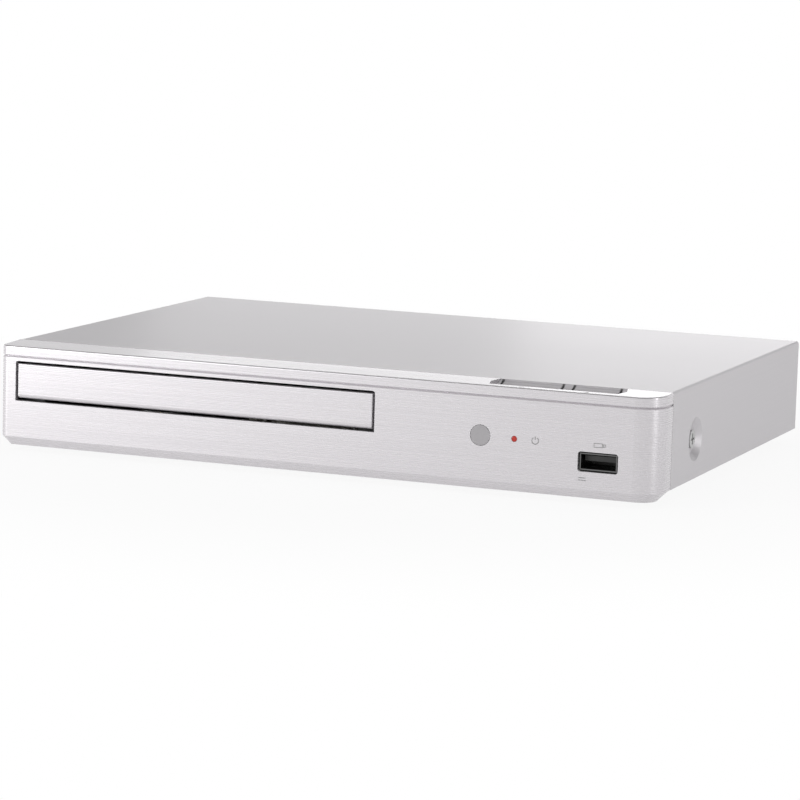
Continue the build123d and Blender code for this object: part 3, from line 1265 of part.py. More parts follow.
def loading_belt():
    """The belt round both pulleys: the ring between two hulls of circles."""
    def hull(extra):
        big = Pos(PULLEY_GEAR_X, GEAR_Y) * Circle(PULLEY_GROOVE_RADIUS + extra)
        small = Pos(MOTOR_X, GEAR_Y) * Circle(MOTOR_GROOVE_RADIUS + extra)
        return make_hull(big.edges() + small.edges())

    middle = (PULLEY_Z + PULLEY_TOP) / 2
    span = (middle - BELT / 2, middle + BELT / 2)
    return prism_z(hull(SEAT_GAP + BELT), span) - prism_z(hull(SEAT_GAP), span)


# Lifting deck and disc drive
def cam_slider():
    """The slider with two slanting slots that raise and lower the deck's pins, on a flat foot."""
    half = CAM_PIN_SPACING / 2
    room = CAM_PIN_RADIUS + RUN_GAP
    edge = room + CAM_EDGE
    ends = (-half - CAM_TRAVEL - edge, half + edge)
    low = PIVOT_Z - PIN_FALL - edge
    plate = drive_box(ends, (CAM_Y, CAM_Y + CAM_THICKNESS), (low, PIVOT_Z + edge))
    foot_z = PLATE_TOP + RUN_GAP
    plate += drive_box(ends, (CAM_Y - CAM_FOOT, CAM_Y), (foot_z, foot_z + CAM_FOOT_THICKNESS))
    for pin in (-half, half):
        upper = (DRIVE_X + pin, PIVOT_Z)
        lower = (DRIVE_X + pin - CAM_TRAVEL, PIVOT_Z - PIN_FALL)
        slot = make_hull([edge for end in (upper, lower) for edge in (Pos(*end) * Circle(room)).edges()])
        plate -= prism_y(slot, (CAM_Y - CAM_FOOT, CAM_Y + CAM_THICKNESS))
    return plate


def tilt_frame():
    """The tilting frame: a flat ring with hinge pins at the rear and cam pins at the front."""
    ring = drive_box((-TILT_HALF, TILT_HALF), (TILT_FRONT, TILT_REAR), (TILT_Z, TILT_TOP))
    inner = TILT_HALF - TILT_BAR
    ring -= drive_box((-inner, inner), (TILT_FRONT + TILT_BAR, TILT_REAR - TILT_BAR), (TILT_Z, TILT_TOP))
    for side in (-1, 1):
        axle = sorted((side * (TILT_HALF - TILT_BAR / 2), side * (TILT_HALF + HINGE_PIN_LENGTH)))
        axle = [DRIVE_X + x for x in axle]
        ring += along_x(HINGE_PIN_RADIUS, axle, (HINGE_Y, PIVOT_Z))
        pin_x = DRIVE_X + side * CAM_PIN_SPACING / 2
        ring += along_y(CAM_PIN_RADIUS, (CAM_Y, TILT_FRONT + TILT_BAR / 2), (pin_x, PIVOT_Z))
    return ring - [upright(SCREW_RADIUS + SHAFT_GAP, (TILT_Z, TILT_TOP), at) for at in damper_places()]


def damper_places():
    """Where the deck stands on its dampers: near the corners of the tilting frame."""
    half = TILT_HALF - TILT_BAR / 2
    rows = (TILT_FRONT + TILT_BAR / 2, HINGE_Y - TILT_BAR)
    return [(DRIVE_X + side * half, y) for side in (-1, 1) for y in rows]


def deck_dampers():
    """Four rubber rings between the tilting frame and the deck."""
    span = (TILT_TOP, DECK_Z)
    hole = SCREW_RADIUS + SHAFT_GAP
    return group([upright(DAMPER_RADIUS, span, at) - upright(hole, span, at) for at in damper_places()])


def deck_screws():
    """The screws that hold the deck to the tilting frame through its dampers."""
    shank = DECK_THICKNESS + DAMPER_HEIGHT + TILT_THICKNESS
    sizes = (SCREW_RADIUS, SCREW_HEAD_RADIUS, DECK_SCREW_HEAD)
    return group([screw_down(at, DECK_TOP, shank, *sizes) for at in damper_places()])


def rod_places():
    """The guide rods' places from the drive's middle."""
    return (-ROD_SPACING / 2, ROD_SPACING / 2)


def traverse_deck():
    """The deck plate with the pickup's opening, the rod holders and the lead screw's two bearings."""
    half = TILT_HALF - DECK_EDGE
    deck = drive_box((-half, half), (TILT_FRONT + DECK_EDGE, TILT_REAR - DECK_EDGE), (DECK_Z, DECK_TOP))
    room = PICKUP_WIDTH / 2 + PICKUP_ROOM
    deck -= drive_box((-room, room), (SLED_FRONT, SLED_REAR), (DECK_Z, DECK_TOP))
    low = ROD_Z - ROD_RADIUS - DECK_EDGE
    ends = ((SLED_FRONT - ROD_HOLDER_DEPTH, SLED_FRONT), (SLED_REAR, SLED_REAR + ROD_HOLDER_DEPTH))
    for x in rod_places():
        wide = (x - ROD_HOLDER / 2, x + ROD_HOLDER / 2)
        deck += [drive_box(wide, span, (low, DECK_Z)) for span in ends]
    x = -SCREW_OFFSET
    wide = (x - ROD_HOLDER / 2, x + ROD_HOLDER / 2)
    tabs = ((SLED_FRONT - SLED_TAB, SLED_FRONT), (SLED_REAR, SLED_REAR + SLED_TAB))
    low = SCREW_Z - SCREW_CORE_RADIUS - SLED_TAB
    deck += [drive_box(wide, span, (low, DECK_Z)) for span in tabs]
    for x in rod_places():
        deck -= along_y(ROD_RADIUS + SHAFT_GAP, (ends[0][0], ends[1][1]), (DRIVE_X + x, ROD_Z))
    bearing = (SLED_FRONT - SLED_TAB, SLED_REAR + SLED_TAB)
    deck -= along_y(SCREW_PIVOT_RADIUS + SHAFT_GAP, bearing, (DRIVE_X - SCREW_OFFSET, SCREW_Z))
    return deck - [upright(SCREW_RADIUS + SHAFT_GAP, (DECK_Z, DECK_TOP), at) for at in damper_places()]


def guide_rods():
    """The two rods that the pickup slides on."""
    span = (SLED_FRONT - ROD_HOLDER_DEPTH, SLED_REAR + ROD_HOLDER_DEPTH)
    return group([along_y(ROD_RADIUS, span, (DRIVE_X + x, ROD_Z)) for x in rod_places()])


def spindle_motor():
    """The flat motor under the turntable."""
    at = (DRIVE_X, SPINDLE_Y)
    top = DECK_TOP + SPINDLE_MOTOR_HEIGHT
    can = upright(SPINDLE_MOTOR_RADIUS, (DECK_TOP, top), at)
    can = fillet(can.edges().group_by(Axis.Z)[-1], WINDOW_RIM)
    return can - upright(SPINDLE_RADIUS + SHAFT_GAP, (DECK_TOP + RUN_GAP, top), at)


def turntable():
    """The turntable: a seat ring for the disc, a tapered hub and the shaft below."""
    shaft = DECK_TOP + 2 * RUN_GAP
    under = SEAT_Z - TURNTABLE_THICKNESS
    relief = SEAT_Z - TURNTABLE_RELIEF
    inner = TURNTABLE_RADIUS - TURNTABLE_SEAT
    top = SEAT_Z + HUB_HEIGHT
    points = [
        (0, shaft),
        (SPINDLE_RADIUS, shaft),
        (SPINDLE_RADIUS, under),
        (TURNTABLE_RADIUS, under),
        (TURNTABLE_RADIUS, SEAT_Z),
        (inner, SEAT_Z),
        (inner, relief),
        (HUB_RADIUS, relief),
        (HUB_RADIUS, top - HUB_CHAMFER),
        (HUB_RADIUS - HUB_CHAMFER, top),
        (0, top),
    ]
    return turned(points, (DRIVE_X, SPINDLE_Y))


def pickup():
    """The laser pickup on its rods, with magnets beside the lens and a toothed arm on the lead screw."""
    half = PICKUP_WIDTH / 2
    y = (LENS_Y - PICKUP_DEPTH / 2, LENS_Y + PICKUP_DEPTH / 2)
    low = DECK_Z - PICKUP_BELOW
    top = DECK_TOP + PICKUP_ABOVE
    sled = drive_box((-half, half), y, (low, top))
    left, right = rod_places()
    bore = ROD_RADIUS + SHAFT_GAP
    sled -= along_y(bore, y, (DRIVE_X + left, ROD_Z))
    sled -= drive_box((right - ROD_RADIUS - RUN_GAP, half), y, (ROD_Z - bore, ROD_Z + bore))
    magnet_y = LENS_DEPTH / 2 + RUN_GAP
    for side in (-1, 1):
        span = sorted((LENS_Y + side * magnet_y, LENS_Y + side * (magnet_y + MAGNET_DEPTH)))
        sled += drive_box((-LENS_WIDTH / 2, LENS_WIDTH / 2), span, (top, top + MAGNET_HEIGHT))
    return sled + nut_arm()


def nut_arm():
    """The pickup's arm over the lead screw, with one tooth that dips between two turns of its thread."""
    crest = SCREW_Z + SCREW_CORE_RADIUS + SCREW_CREST
    under = crest + RUN_GAP
    y = (LENS_Y - NUT_WIDTH / 2, LENS_Y + NUT_WIDTH / 2)
    outer = -SCREW_OFFSET - SCREW_CORE_RADIUS
    arm = drive_box((outer, -PICKUP_WIDTH / 2), y, (under, DECK_Z - RUN_GAP))
    tooth_x = (-SCREW_OFFSET - NUT_TOOTH / 4, -SCREW_OFFSET + NUT_TOOTH / 4)
    tooth_y = (LENS_Y - NUT_TOOTH / 2, LENS_Y + NUT_TOOTH / 2)
    return arm + drive_box(tooth_x, tooth_y, (crest - NUT_DIP, under))


def objective_lens():
    """The lens in its holder, hung just above the pickup."""
    low = DECK_TOP + PICKUP_ABOVE + LENS_TRAVEL + RUN_GAP
    half = LENS_WIDTH / 2
    y = (LENS_Y - LENS_DEPTH / 2, LENS_Y + LENS_DEPTH / 2)
    holder = drive_box((-half, half), y, (low, low + LENS_HOLDER))
    bow = (LENS_RADIUS**2 + LENS_RISE**2) / (2 * LENS_RISE)
    ball = Pos(DRIVE_X, LENS_Y, low + LENS_HOLDER + LENS_RISE - bow) * Sphere(bow)
    column = upright(LENS_RADIUS, (low + LENS_HOLDER, low + LENS_HOLDER + LENS_RISE), (DRIVE_X, LENS_Y))
    return holder + (ball & column)


def lead_screw():
    """The lead screw: a helical ridge round a core, with a pivot at each end."""
    length = SLED_REAR - SLED_FRONT - 2 * RUN_GAP
    start = SLED_FRONT + RUN_GAP
    turns = int((length - SCREW_RIDGE) / SCREW_PITCH)
    path = Helix(SCREW_PITCH, turns * SCREW_PITCH, SCREW_CORE_RADIUS)
    half = SCREW_RIDGE / 2
    root = -SCREW_CREST / 2
    ridge = ((root, -half), (SCREW_CREST, -half / 2), (SCREW_CREST, half / 2), (root, half))
    profile = Plane(origin=path @ 0, x_dir=(1, 0, 0), z_dir=path % 0) * Polygon(*ridge, align=None)
    thread = sweep(profile, path=path, is_frenet=True)
    thread = Pos(0, 0, (length - turns * SCREW_PITCH) / 2) * thread
    core = Cylinder(SCREW_CORE_RADIUS, length, align=LOW_END)
    reach = SLED_TAB + RUN_GAP
    pivot = Cylinder(SCREW_PIVOT_RADIUS, length + 2 * reach + SLED_TAB, align=LOW_END)
    screw = core + thread + Pos(0, 0, -reach) * pivot
    # The ridge starts at its low end under +X. The turn below brings the middle of a groove up to the tooth.
    along = LENS_Y - start - (length - turns * SCREW_PITCH) / 2
    phase = 360.0 * (along / SCREW_PITCH - 0.5)
    return Pos(DRIVE_X - SCREW_OFFSET, start, SCREW_Z) * Rot(-90, 0, 0) * Rot(0, 0, -90.0 - phase) * screw


def sled_motor():
    """The small motor at the rear end of the lead screw."""
    place = (DRIVE_X - SCREW_OFFSET, SCREW_Z)
    front = SLED_REAR + SLED_TAB
    can = along_y(SLED_MOTOR_RADIUS, (front, front + SLED_MOTOR_LENGTH), place)
    return can - along_y(SCREW_PIVOT_RADIUS + SHAFT_GAP, (front, front + SLED_TAB + RUN_GAP), place)


# Clamp
def clamp_bridge():
    """The sheet bridge over the tray, with upturned flanges and a round hole for the clamper."""
    half = BRIDGE_DEPTH / 2
    y = (SPINDLE_Y - half, SPINDLE_Y + half)
    bridge = drive_box((-RAIL_OUTSIDE, RAIL_OUTSIDE), y, (BRIDGE_Z, BRIDGE_Z + BRIDGE_THICKNESS))
    reach = RAIL_INSIDE - HOLD_DOWN_REACH
    top = BRIDGE_Z + BRIDGE_THICKNESS + BRIDGE_FLANGE
    for span in ((y[0], y[0] + BRIDGE_THICKNESS), (y[1] - BRIDGE_THICKNESS, y[1])):
        bridge += drive_box((-reach, reach), span, (BRIDGE_Z + BRIDGE_THICKNESS, top))
    hole = (CLAMPER_NECK_RADIUS + CLAMPER_RIM_RADIUS) / 2
    thick = (BRIDGE_Z, BRIDGE_Z + BRIDGE_THICKNESS)
    bridge -= upright(hole, thick, (DRIVE_X, SPINDLE_Y))
    return bridge - [upright(SCREW_RADIUS + SHAFT_GAP, thick, at) for at in bridge_screw_places()]


def clamper():
    """The clamper: a foot ring under the bridge, a neck through it and a rim that rests on top."""
    low = CLAMPER_Z
    foot_top = min(low + CLAMPER_FOOT, BRIDGE_Z - RUN_GAP)
    rim = BRIDGE_Z + BRIDGE_THICKNESS + RUN_GAP
    recess = HUB_RADIUS + CLAMPER_PLAY
    ceiling = SEAT_Z + HUB_HEIGHT + CLAMPER_PLAY
    points = [
        (0, ceiling),
        (recess, ceiling),
        (recess, low),
        (CLAMPER_RADIUS, low),
        (CLAMPER_RADIUS, foot_top),
        (CLAMPER_NECK_RADIUS, foot_top),
        (CLAMPER_NECK_RADIUS, rim),
        (CLAMPER_RIM_RADIUS, rim),
        (CLAMPER_RIM_RADIUS, rim + CLAMPER_RIM),
        (0, rim + CLAMPER_RIM),
    ]
    return turned(points, (DRIVE_X, SPINDLE_Y))


FOOT_X = SIDE - FOOT_INSET_SIDE
FOOT_FRONT = FRONT + FOOT_INSET_FRONT
FOOT_REAR = REAR - FOOT_INSET_REAR

PIECES = {
    "base_chassis": base_chassis(),
    "top_cover": top_cover(),
    "rear_panel": rear_panel(),
    "foot_front_left": foot(-FOOT_X, FOOT_FRONT),
    "foot_front_right": foot(FOOT_X, FOOT_FRONT),
    "foot_rear_left": foot(-FOOT_X, FOOT_REAR),
    "foot_rear_right": foot(FOOT_X, FOOT_REAR),
    "case_screws": case_screws(),
    "front_panel": front_panel(),
    "key_bezel": key_bezel(),
    "power_key": top_key(KEY_1),
    "eject_key": top_key(KEY_2),
    "key_switches": key_switches(),
    "ir_window": ir_window(),
    "ir_receiver": ir_receiver(),
    "lamp_lens": lamp_lens(),
    "lamp": lamp(),
    "usb_shell": usb_shell(),
    "socket_tongues": socket_tongues(),
    "front_board": front_board(),
    "main_board": flat_board(MAIN_BOARD_LEFT, MAIN_BOARD_RIGHT),
    "power_board": flat_board(POWER_BOARD_LEFT, POWER_BOARD_RIGHT),
    "board_screws": board_screws(),
    "processor": processor(),
    "heat_sink": heat_sink(),
    "memory_chips": memory_chips(),
    "transformer": transformer(),
    "capacitors": capacitors(),
    "cable_sockets": cable_sockets(),
    "flat_cables": flat_cables(),
    "ac_inlet": ac_inlet(),
    "inlet_pins": inlet_pins(),
    "hdmi_shell": hdmi_shell(),
    "lan_socket": lan_socket(),
    "coax_body": coax_body(),
    "coax_barrel": coax_barrel(),
    "loader_frame": loader_frame(),
    "loader_screws": loader_screws(),
    "tray": tray(),
    "tray_door": tray_door(),
    "drive_gear": drive_gear(),
    "pulley_gear": pulley_gear(),
    "loading_motor": loading_motor(),
    "motor_pulley": motor_pulley(),
    "loading_belt": loading_belt(),
    "cam_slider": cam_slider(),
    "tilt_frame": tilt_frame(),
    "deck_dampers": deck_dampers(),
    "deck_screws": deck_screws(),
    "traverse_deck": traverse_deck(),
    "guide_rods": guide_rods(),
    "spindle_motor": spindle_motor(),
    "turntable": turntable(),
    "pickup": pickup(),
    "objective_lens": objective_lens(),
    "lead_screw": lead_screw(),
    "sled_motor": sled_motor(),
    "clamp_bridge": clamp_bridge(),
    "clamper": clamper(),
}

os.makedirs("parts", exist_ok=True)
for name, piece in PIECES.items():
    export_step(piece, f"parts/{name}.step")
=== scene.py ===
import json
import math

import bpy
import numpy as np
from mathutils import Matrix, Vector


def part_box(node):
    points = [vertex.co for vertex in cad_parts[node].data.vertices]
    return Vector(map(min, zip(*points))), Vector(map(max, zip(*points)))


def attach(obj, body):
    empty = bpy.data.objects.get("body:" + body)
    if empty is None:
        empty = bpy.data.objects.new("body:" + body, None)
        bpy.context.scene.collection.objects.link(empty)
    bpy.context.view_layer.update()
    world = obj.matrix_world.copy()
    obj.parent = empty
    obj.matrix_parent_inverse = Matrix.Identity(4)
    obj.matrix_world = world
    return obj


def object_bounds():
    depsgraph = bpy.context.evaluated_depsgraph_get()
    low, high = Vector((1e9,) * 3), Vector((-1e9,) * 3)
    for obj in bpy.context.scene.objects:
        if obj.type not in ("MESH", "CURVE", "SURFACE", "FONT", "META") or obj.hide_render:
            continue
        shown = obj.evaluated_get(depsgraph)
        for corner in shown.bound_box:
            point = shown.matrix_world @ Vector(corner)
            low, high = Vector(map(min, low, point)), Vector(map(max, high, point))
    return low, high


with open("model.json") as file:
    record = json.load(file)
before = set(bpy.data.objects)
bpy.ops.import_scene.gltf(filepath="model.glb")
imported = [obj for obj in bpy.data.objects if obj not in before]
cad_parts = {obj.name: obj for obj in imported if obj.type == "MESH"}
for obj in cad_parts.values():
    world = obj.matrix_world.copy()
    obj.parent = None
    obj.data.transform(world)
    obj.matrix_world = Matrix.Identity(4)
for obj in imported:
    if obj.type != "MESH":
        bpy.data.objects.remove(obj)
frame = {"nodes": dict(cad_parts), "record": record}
cad_low, cad_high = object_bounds()

# Camera: where it stands round the player, in degrees and metres, for a square picture
CAMERA_AZIMUTH = 21.229
CAMERA_ELEVATION = 8.241
CAMERA_ROLL = 1.693
CAMERA_DISTANCE = 1.289088
CAMERA_TARGET = Vector((-0.003738, -0.0035, 0.016801))
CAMERA_LENS = 157.57
CAMERA_SENSOR = 36.0
CAMERA_CLIP_END = 50.0

# Floor: its half width, its colour, and how much of what is seen of it is its own white: near the player,
# in gloss, and from where to where, in metres from the middle, that share grows to all of it
FLOOR_REACH = 8.0
FLOOR_COLOUR = 0.9
FLOOR_GLOW = 0.9
FLOOR_GLOSS = 0.86
FLOOR_WHITE_FROM = 0.12
FLOOR_WHITE_AT = 0.32

# World: its even light, the dark ceiling that gloss sees and the sky that lights the rest, where the heights
# from which each starts and at which each is full are sines of the elevation
WORLD_LEVEL = 0.04
CEILING_LEVEL = 0.12
CEILING_FROM = 0.25
CEILING_AT = 0.6
SKY_LEVEL = 0.8
SKY_FROM = 0.5
SKY_AT = 0.8

# Lamps: place, aim, width and height in metres, watts
LAMPS = {
    "front_left_box": ((-0.75, -0.85, 0.12), (-0.03, -0.09, 0.02), (0.4, 0.2), 3.9),
    "near_left_box": ((-0.22, -0.4, 0.12), (-0.1, -0.09, 0.02), (0.2, 0.15), 0.25),
    "right_strip": ((0.6, -0.2, 0.15), (0.12, -0.08, 0.02), (0.1, 0.3), 0.6),
    "right_box": ((0.9, 0.25, 0.06), (0.12, 0.0, 0.02), (0.5, 0.1), 0.1),
    "rear_left_strip": ((-0.2, 0.4, 0.1), (-0.2, 0.0, 0.06), (0.2, 0.2), 0.07),
    "rear_strip": ((0.0, 0.4, 0.1), (0.0, 0.0, 0.06), (0.2, 0.2), 0.15),
}

# Printed signs: the strokes' width and height, and each sign's size and place beside its fitting
SIGN_STROKE = 0.00028
SIGN_THICKNESS = 0.00001
POWER_SIGN_RADIUS = 0.0012
POWER_SIGN_OPENING = 34.0
POWER_BAR_FOOT = 0.25  # shares of the ring's radius
POWER_BAR_TOP = 1.2
LAMP_SIGN_OFFSET = 0.0075
STICK_STROKE = 0.8  # share of the other signs' strokes
STICK_LENGTH = 0.0030
STICK_WIDTH = 0.0013
STICK_PLUG_LENGTH = 0.0010
STICK_PLUG_WIDTH = 0.0008
STICK_RISE = 0.0030
CURRENT_SIGN_WIDTH = 0.0026
CURRENT_SIGN_RISE = 1.5  # strokes from the sign's middle to each of its two lines
CURRENT_SIGN_DROP = 0.0030
DASH_PITCH = 0.36  # shares of the sign's width
DASH_REACH = 0.14
KEY_SIGN_SCALE = 0.62
KEY_SIGN_SETBACK = 0.0018
EJECT_WIDTH = 0.0017
EJECT_TIP = 0.02  # share of the triangle's width
EJECT_BASE = 0.2  # drops below the sign's middle, as shares of half its width
EJECT_BAR = 0.75
STRIP_FALL = 0.0005  # by how much the top strip falls towards the front

# Silver paint: its green share, and for each lined finish its lightness, how far the lines change that,
# its metallic share and its roughness
SILVER_GREEN = 0.968
FRONT_PAINT = (0.72, 0.01, 0.5, 0.27)
COVER_PAINT = (0.64, 0.012, 0.5, 0.4)
KEY_PAINT = (0.64, 0.03, 0.1, 0.5)

# Noise cells per metre on X, Y and Z: few along the lines and many across them
FRONT_LINES = (9.0, 9.0, 3200.0)
COVER_TOP_LINES = (9.0, 1500.0, 9.0)
COVER_SIDE_LINES = (9.0, 9.0, 1500.0)
KEY_LINES = (20.0, 2600.0, 2600.0)
ROLLING_LINES = (15.0, 900.0, 900.0)
SHEET_CLOUD = (45.0, 45.0, 45.0)
SKIN_CLOUD = (60.0, 60.0, 60.0)
BOARD_WEAVE = (1800.0, 1800.0, 1800.0)

# Heights of the fine relief, in metres, and the usual skin of moulded plastic: grains per metre and depth
PAINT_RELIEF = 1.1e-7
ROLLING_RELIEF = 2e-6
BOARD_RELIEF = 2e-5
CABLE_RELIEF = 2e-5
SKIN_GRAIN = 2500.0
SKIN_DEPTH = 4e-6

# Widths on the pieces, in metres: the cover's folds, the painted shade round the window's edge, the painted
# shade at each end of a key
COVER_FOLD = 0.0012
WINDOW_EDGE_SHADE_WIDTH = 0.0003
KEY_END_SHADE_WIDTH = 0.0006

# Lightness of the window, of the painted shade round its edge and of the painted shade at the keys' ends;
# conductors per metre of flat cable
WINDOW_LEVEL = 0.47
WINDOW_EDGE_SHADE_LEVEL = 0.2
KEY_END_SHADE_LEVEL = 0.12
CABLE_WIRES = 1000.0


class Wire:
    """One socket of a node tree: arithmetic on it adds Math nodes, and node() adds any other node."""

    def __init__(self, tree, socket=None):
        self.tree = tree
        self.socket = socket

    def node(self, kind, settings, inputs, output=0):
        """Adds a node: its settings are set first, then each input gets its value or its link."""
        made = self.tree.nodes.new(kind)
        for name, value in settings.items():
            setattr(made, name, value)
        for key, value in inputs.items():
            if isinstance(value, Wire):
                self.tree.links.new(value.socket, made.inputs[key])
            else:
                made.inputs[key].default_value = value
        return Wire(self.tree, made.outputs[output] if made.outputs else None)

    def math(self, operation, first, second=0.0):
        return self.node("ShaderNodeMath", {"operation": operation}, {0: first, 1: second})

    def __add__(self, other):
        return self.math("ADD", self, other)

    def __radd__(self, other):
        return self.math("ADD", other, self)

    def __sub__(self, other):
        return self.math("SUBTRACT", self, other)

    def __rsub__(self, other):
        return self.math("SUBTRACT", other, self)

    def __mul__(self, other):
        return self.math("MULTIPLY", self, other)

    def __rmul__(self, other):
        return self.math("MULTIPLY", other, self)

    def __truediv__(self, other):
        return self.math("DIVIDE", self, other)

    def __rtruediv__(self, other):
        return self.math("DIVIDE", other, self)

    def fade(self, low, high):
        """0 below low, 1 above high, and a smooth rise between them."""
        settings = {"interpolation_type": "SMOOTHSTEP"}
        inputs = {"Value": self, "From Min": low, "From Max": high}
        return self.node("ShaderNodeMapRange", settings, inputs)

    def mix(self, low, high):
        """The colour low where this value is 0, and high where it is 1."""
        settings = {"data_type": "RGBA"}
        return self.node("ShaderNodeMix", settings, {0: self, 6: low, 7: high}, 2)

    def axis(self, letter):
        """One part of a vector: X, Y or Z."""
        return self.node("ShaderNodeSeparateXYZ", {}, {0: self}, letter)

    def noise(self, cells, detail=2.0):
        """Noise from 0 to 1 at this place, with that many cells per metre on X, Y and Z."""
        place = self.node("ShaderNodeVectorMath", {"operation": "MULTIPLY"}, {0: self, 1: cells})
        return self.node("ShaderNodeTexNoise", {}, {"Vector": place, "Scale": 1.0, "Detail": detail})

    def bump(self, depth):
        """A surface normal from this height, 0 to 1, with depth as the height's real size in metres."""
        return self.node("ShaderNodeBump", {}, {"Height": self, "Distance": depth, "Strength": 1.0})


def grey(level):
    return (level, level, level, 1.0)


def silver(level):
    """The silver paint's colour: grey with a trace of violet."""
    return (level, level * SILVER_GREEN, level, 1.0)


def tint(colour, gain):
    """The same colour, lighter or darker."""
    return tuple(c * gain for c in colour[:3]) + (1.0,)


def brushed(lines, level, spread, metallic, roughness):
    """Silver finish with fine lines, which change the colour, the gloss and the height a little."""
    mask = lines.fade(0.3, 0.7)
    colour = silver(level)
    return {
        "Base Color": mask.mix(tint(colour, 1.0 - spread), tint(colour, 1.0 + spread)),
        "Metallic": metallic,
        "Roughness": roughness - 0.015 + mask * 0.03,
        "Normal": lines.bump(PAINT_RELIEF),
    }


def moulded(place, colour, roughness, grain=SKIN_GRAIN, depth=SKIN_DEPTH):
    """Moulded plastic: a fine even grain in the skin, and a faint cloudiness in colour and gloss."""
    skin = place.noise((grain, grain, grain))
    cloud = place.noise(SKIN_CLOUD)
    return {
        "Base Color": cloud.fade(0.25, 0.75).mix(tint(colour, 0.93), tint(colour, 1.06)),
        "Roughness": roughness - 0.04 + cloud * 0.08,
        "Normal": skin.bump(depth),
    }


def sheet_metal(place, colour, roughness):
    """Plain rolled or plated sheet: long faint rolling lines along X and a cloudy grain."""
    lines = place.noise(ROLLING_LINES)
    cloud = place.noise(SHEET_CLOUD, 3.0)
    mask = (lines * 0.5 + cloud * 0.5).fade(0.3, 0.7)
    return {
        "Base Color": mask.mix(tint(colour, 0.92), tint(colour, 1.05)),
        "Metallic": 1.0,
        "Roughness": roughness - 0.06 + mask * 0.12,
        "Normal": lines.bump(ROLLING_RELIEF),
    }


def front_silver(place):
    """Lines run level round the front: they change only with height."""
    return brushed(place.noise(FRONT_LINES, 3.0), *FRONT_PAINT)


def cover_silver(place):
    """Lines run along X on the top, and along Y on the two sides."""
    across = place.axis("X")
    side = across.math("ABSOLUTE", across).fade(cad_high[0] - COVER_FOLD, cad_high[0])
    lines = place.noise(COVER_TOP_LINES) * (1.0 - side) + place.noise(COVER_SIDE_LINES) * side
    return brushed(lines, *COVER_PAINT)


def key_silver(place):
    """Keys and their surround, with painted shade: a dark band on each key at both its ends, standing in for
    the shade in the gaps beside it.
    """
    across = place.axis("X")
    # Painted shade: a dark band in the key's colour near each of its ends, where the gaps beside the keys
    # are in shade
    line = 0.0
    for name in ("power_key", "eject_key"):
        low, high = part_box(name)
        for end in (low[0], high[0]):
            away = across.math("ABSOLUTE", across - end)
            line = line + (1.0 - away.fade(0.5 * KEY_END_SHADE_WIDTH, KEY_END_SHADE_WIDTH))
    look = brushed(place.noise(KEY_LINES), *KEY_PAINT)
    # Mixes the painted shade into the key's colour
    look["Base Color"] = line.mix(look["Base Color"], silver(KEY_END_SHADE_LEVEL))
    return look


def window_dark(place):
    """Smoked window, with painted shade: a darker ring at its edge, standing in for the shade in the gap
    round it, found from the distance to the window's middle.
    """
    low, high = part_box("ir_window")
    across = place.axis("X") - (low[0] + high[0]) / 2
    up = place.axis("Z") - (low[2] + high[2]) / 2
    reach = across.math("SQRT", across * across + up * up)
    radius = (high[0] - low[0]) / 2
    # Painted shade: a darker ring at the window's edge, where the gap round it is in shade
    edge_shade = reach.fade(radius - 1.5 * WINDOW_EDGE_SHADE_WIDTH, radius - 0.5 * WINDOW_EDGE_SHADE_WIDTH)
    look = moulded(place, silver(WINDOW_LEVEL), 0.22)
    look["Base Color"] = edge_shade.mix(silver(WINDOW_LEVEL), silver(WINDOW_EDGE_SHADE_LEVEL))
    look["Coat Weight"] = 0.6
    return look


def lamp_red(place):
    """Red lens with a faint light of its own."""
    look = moulded(place, (0.45, 0.03, 0.02, 1.0), 0.25)
    look["Emission Color"] = (0.9, 0.06, 0.03, 1.0)
    look["Emission Strength"] = 0.12
    return look


def lens_glass(place):
    """Bluish lens under a clear coat."""
    look = moulded(place, (0.12, 0.14, 0.3, 1.0), 0.12)
    look["Coat Weight"] = 0.8
    return look


def board_green(place):
    """Circuit board: a weave under green lacquer, with lighter copper runs on a square grid of cells."""
    cells = place.node("ShaderNodeTexBrick", {"offset": 0.37}, {
        "Vector": place,
        "Scale": 60.0,
        "Mortar Size": 0.06,
        "Brick Width": 0.7,
        "Row Height": 0.12,
        "Color1": grey(0.0),
        "Color2": grey(0.0),
        "Mortar": grey(1.0),
    }, 1)
    weave = place.noise(BOARD_WEAVE, 1.0)
    lacquer = weave.mix((0.012, 0.085, 0.035, 1.0), (0.018, 0.11, 0.05, 1.0))
    run = (0.04, 0.2, 0.08, 1.0)
    return {
        "Base Color": cells.mix(lacquer, run),
        "Roughness": 0.28 + weave * 0.12,
        "Normal": (cells * 0.5 + weave * 0.2).bump(BOARD_RELIEF),
    }


def cable_white(place):
    """Flat cable: conductors show as faint lines under a white skin."""
    across = place.axis("X").math("FRACT", place.axis("X") * CABLE_WIRES)
    line = across.math("ABSOLUTE", across - 0.5).fade(0.2, 0.35)
    return {
        "Base Color": line.mix((0.6, 0.6, 0.58, 1.0), (0.82, 0.82, 0.79, 1.0)),
        "Roughness": 0.4 + line * 0.1,
        "Normal": line.bump(CABLE_RELIEF),
    }


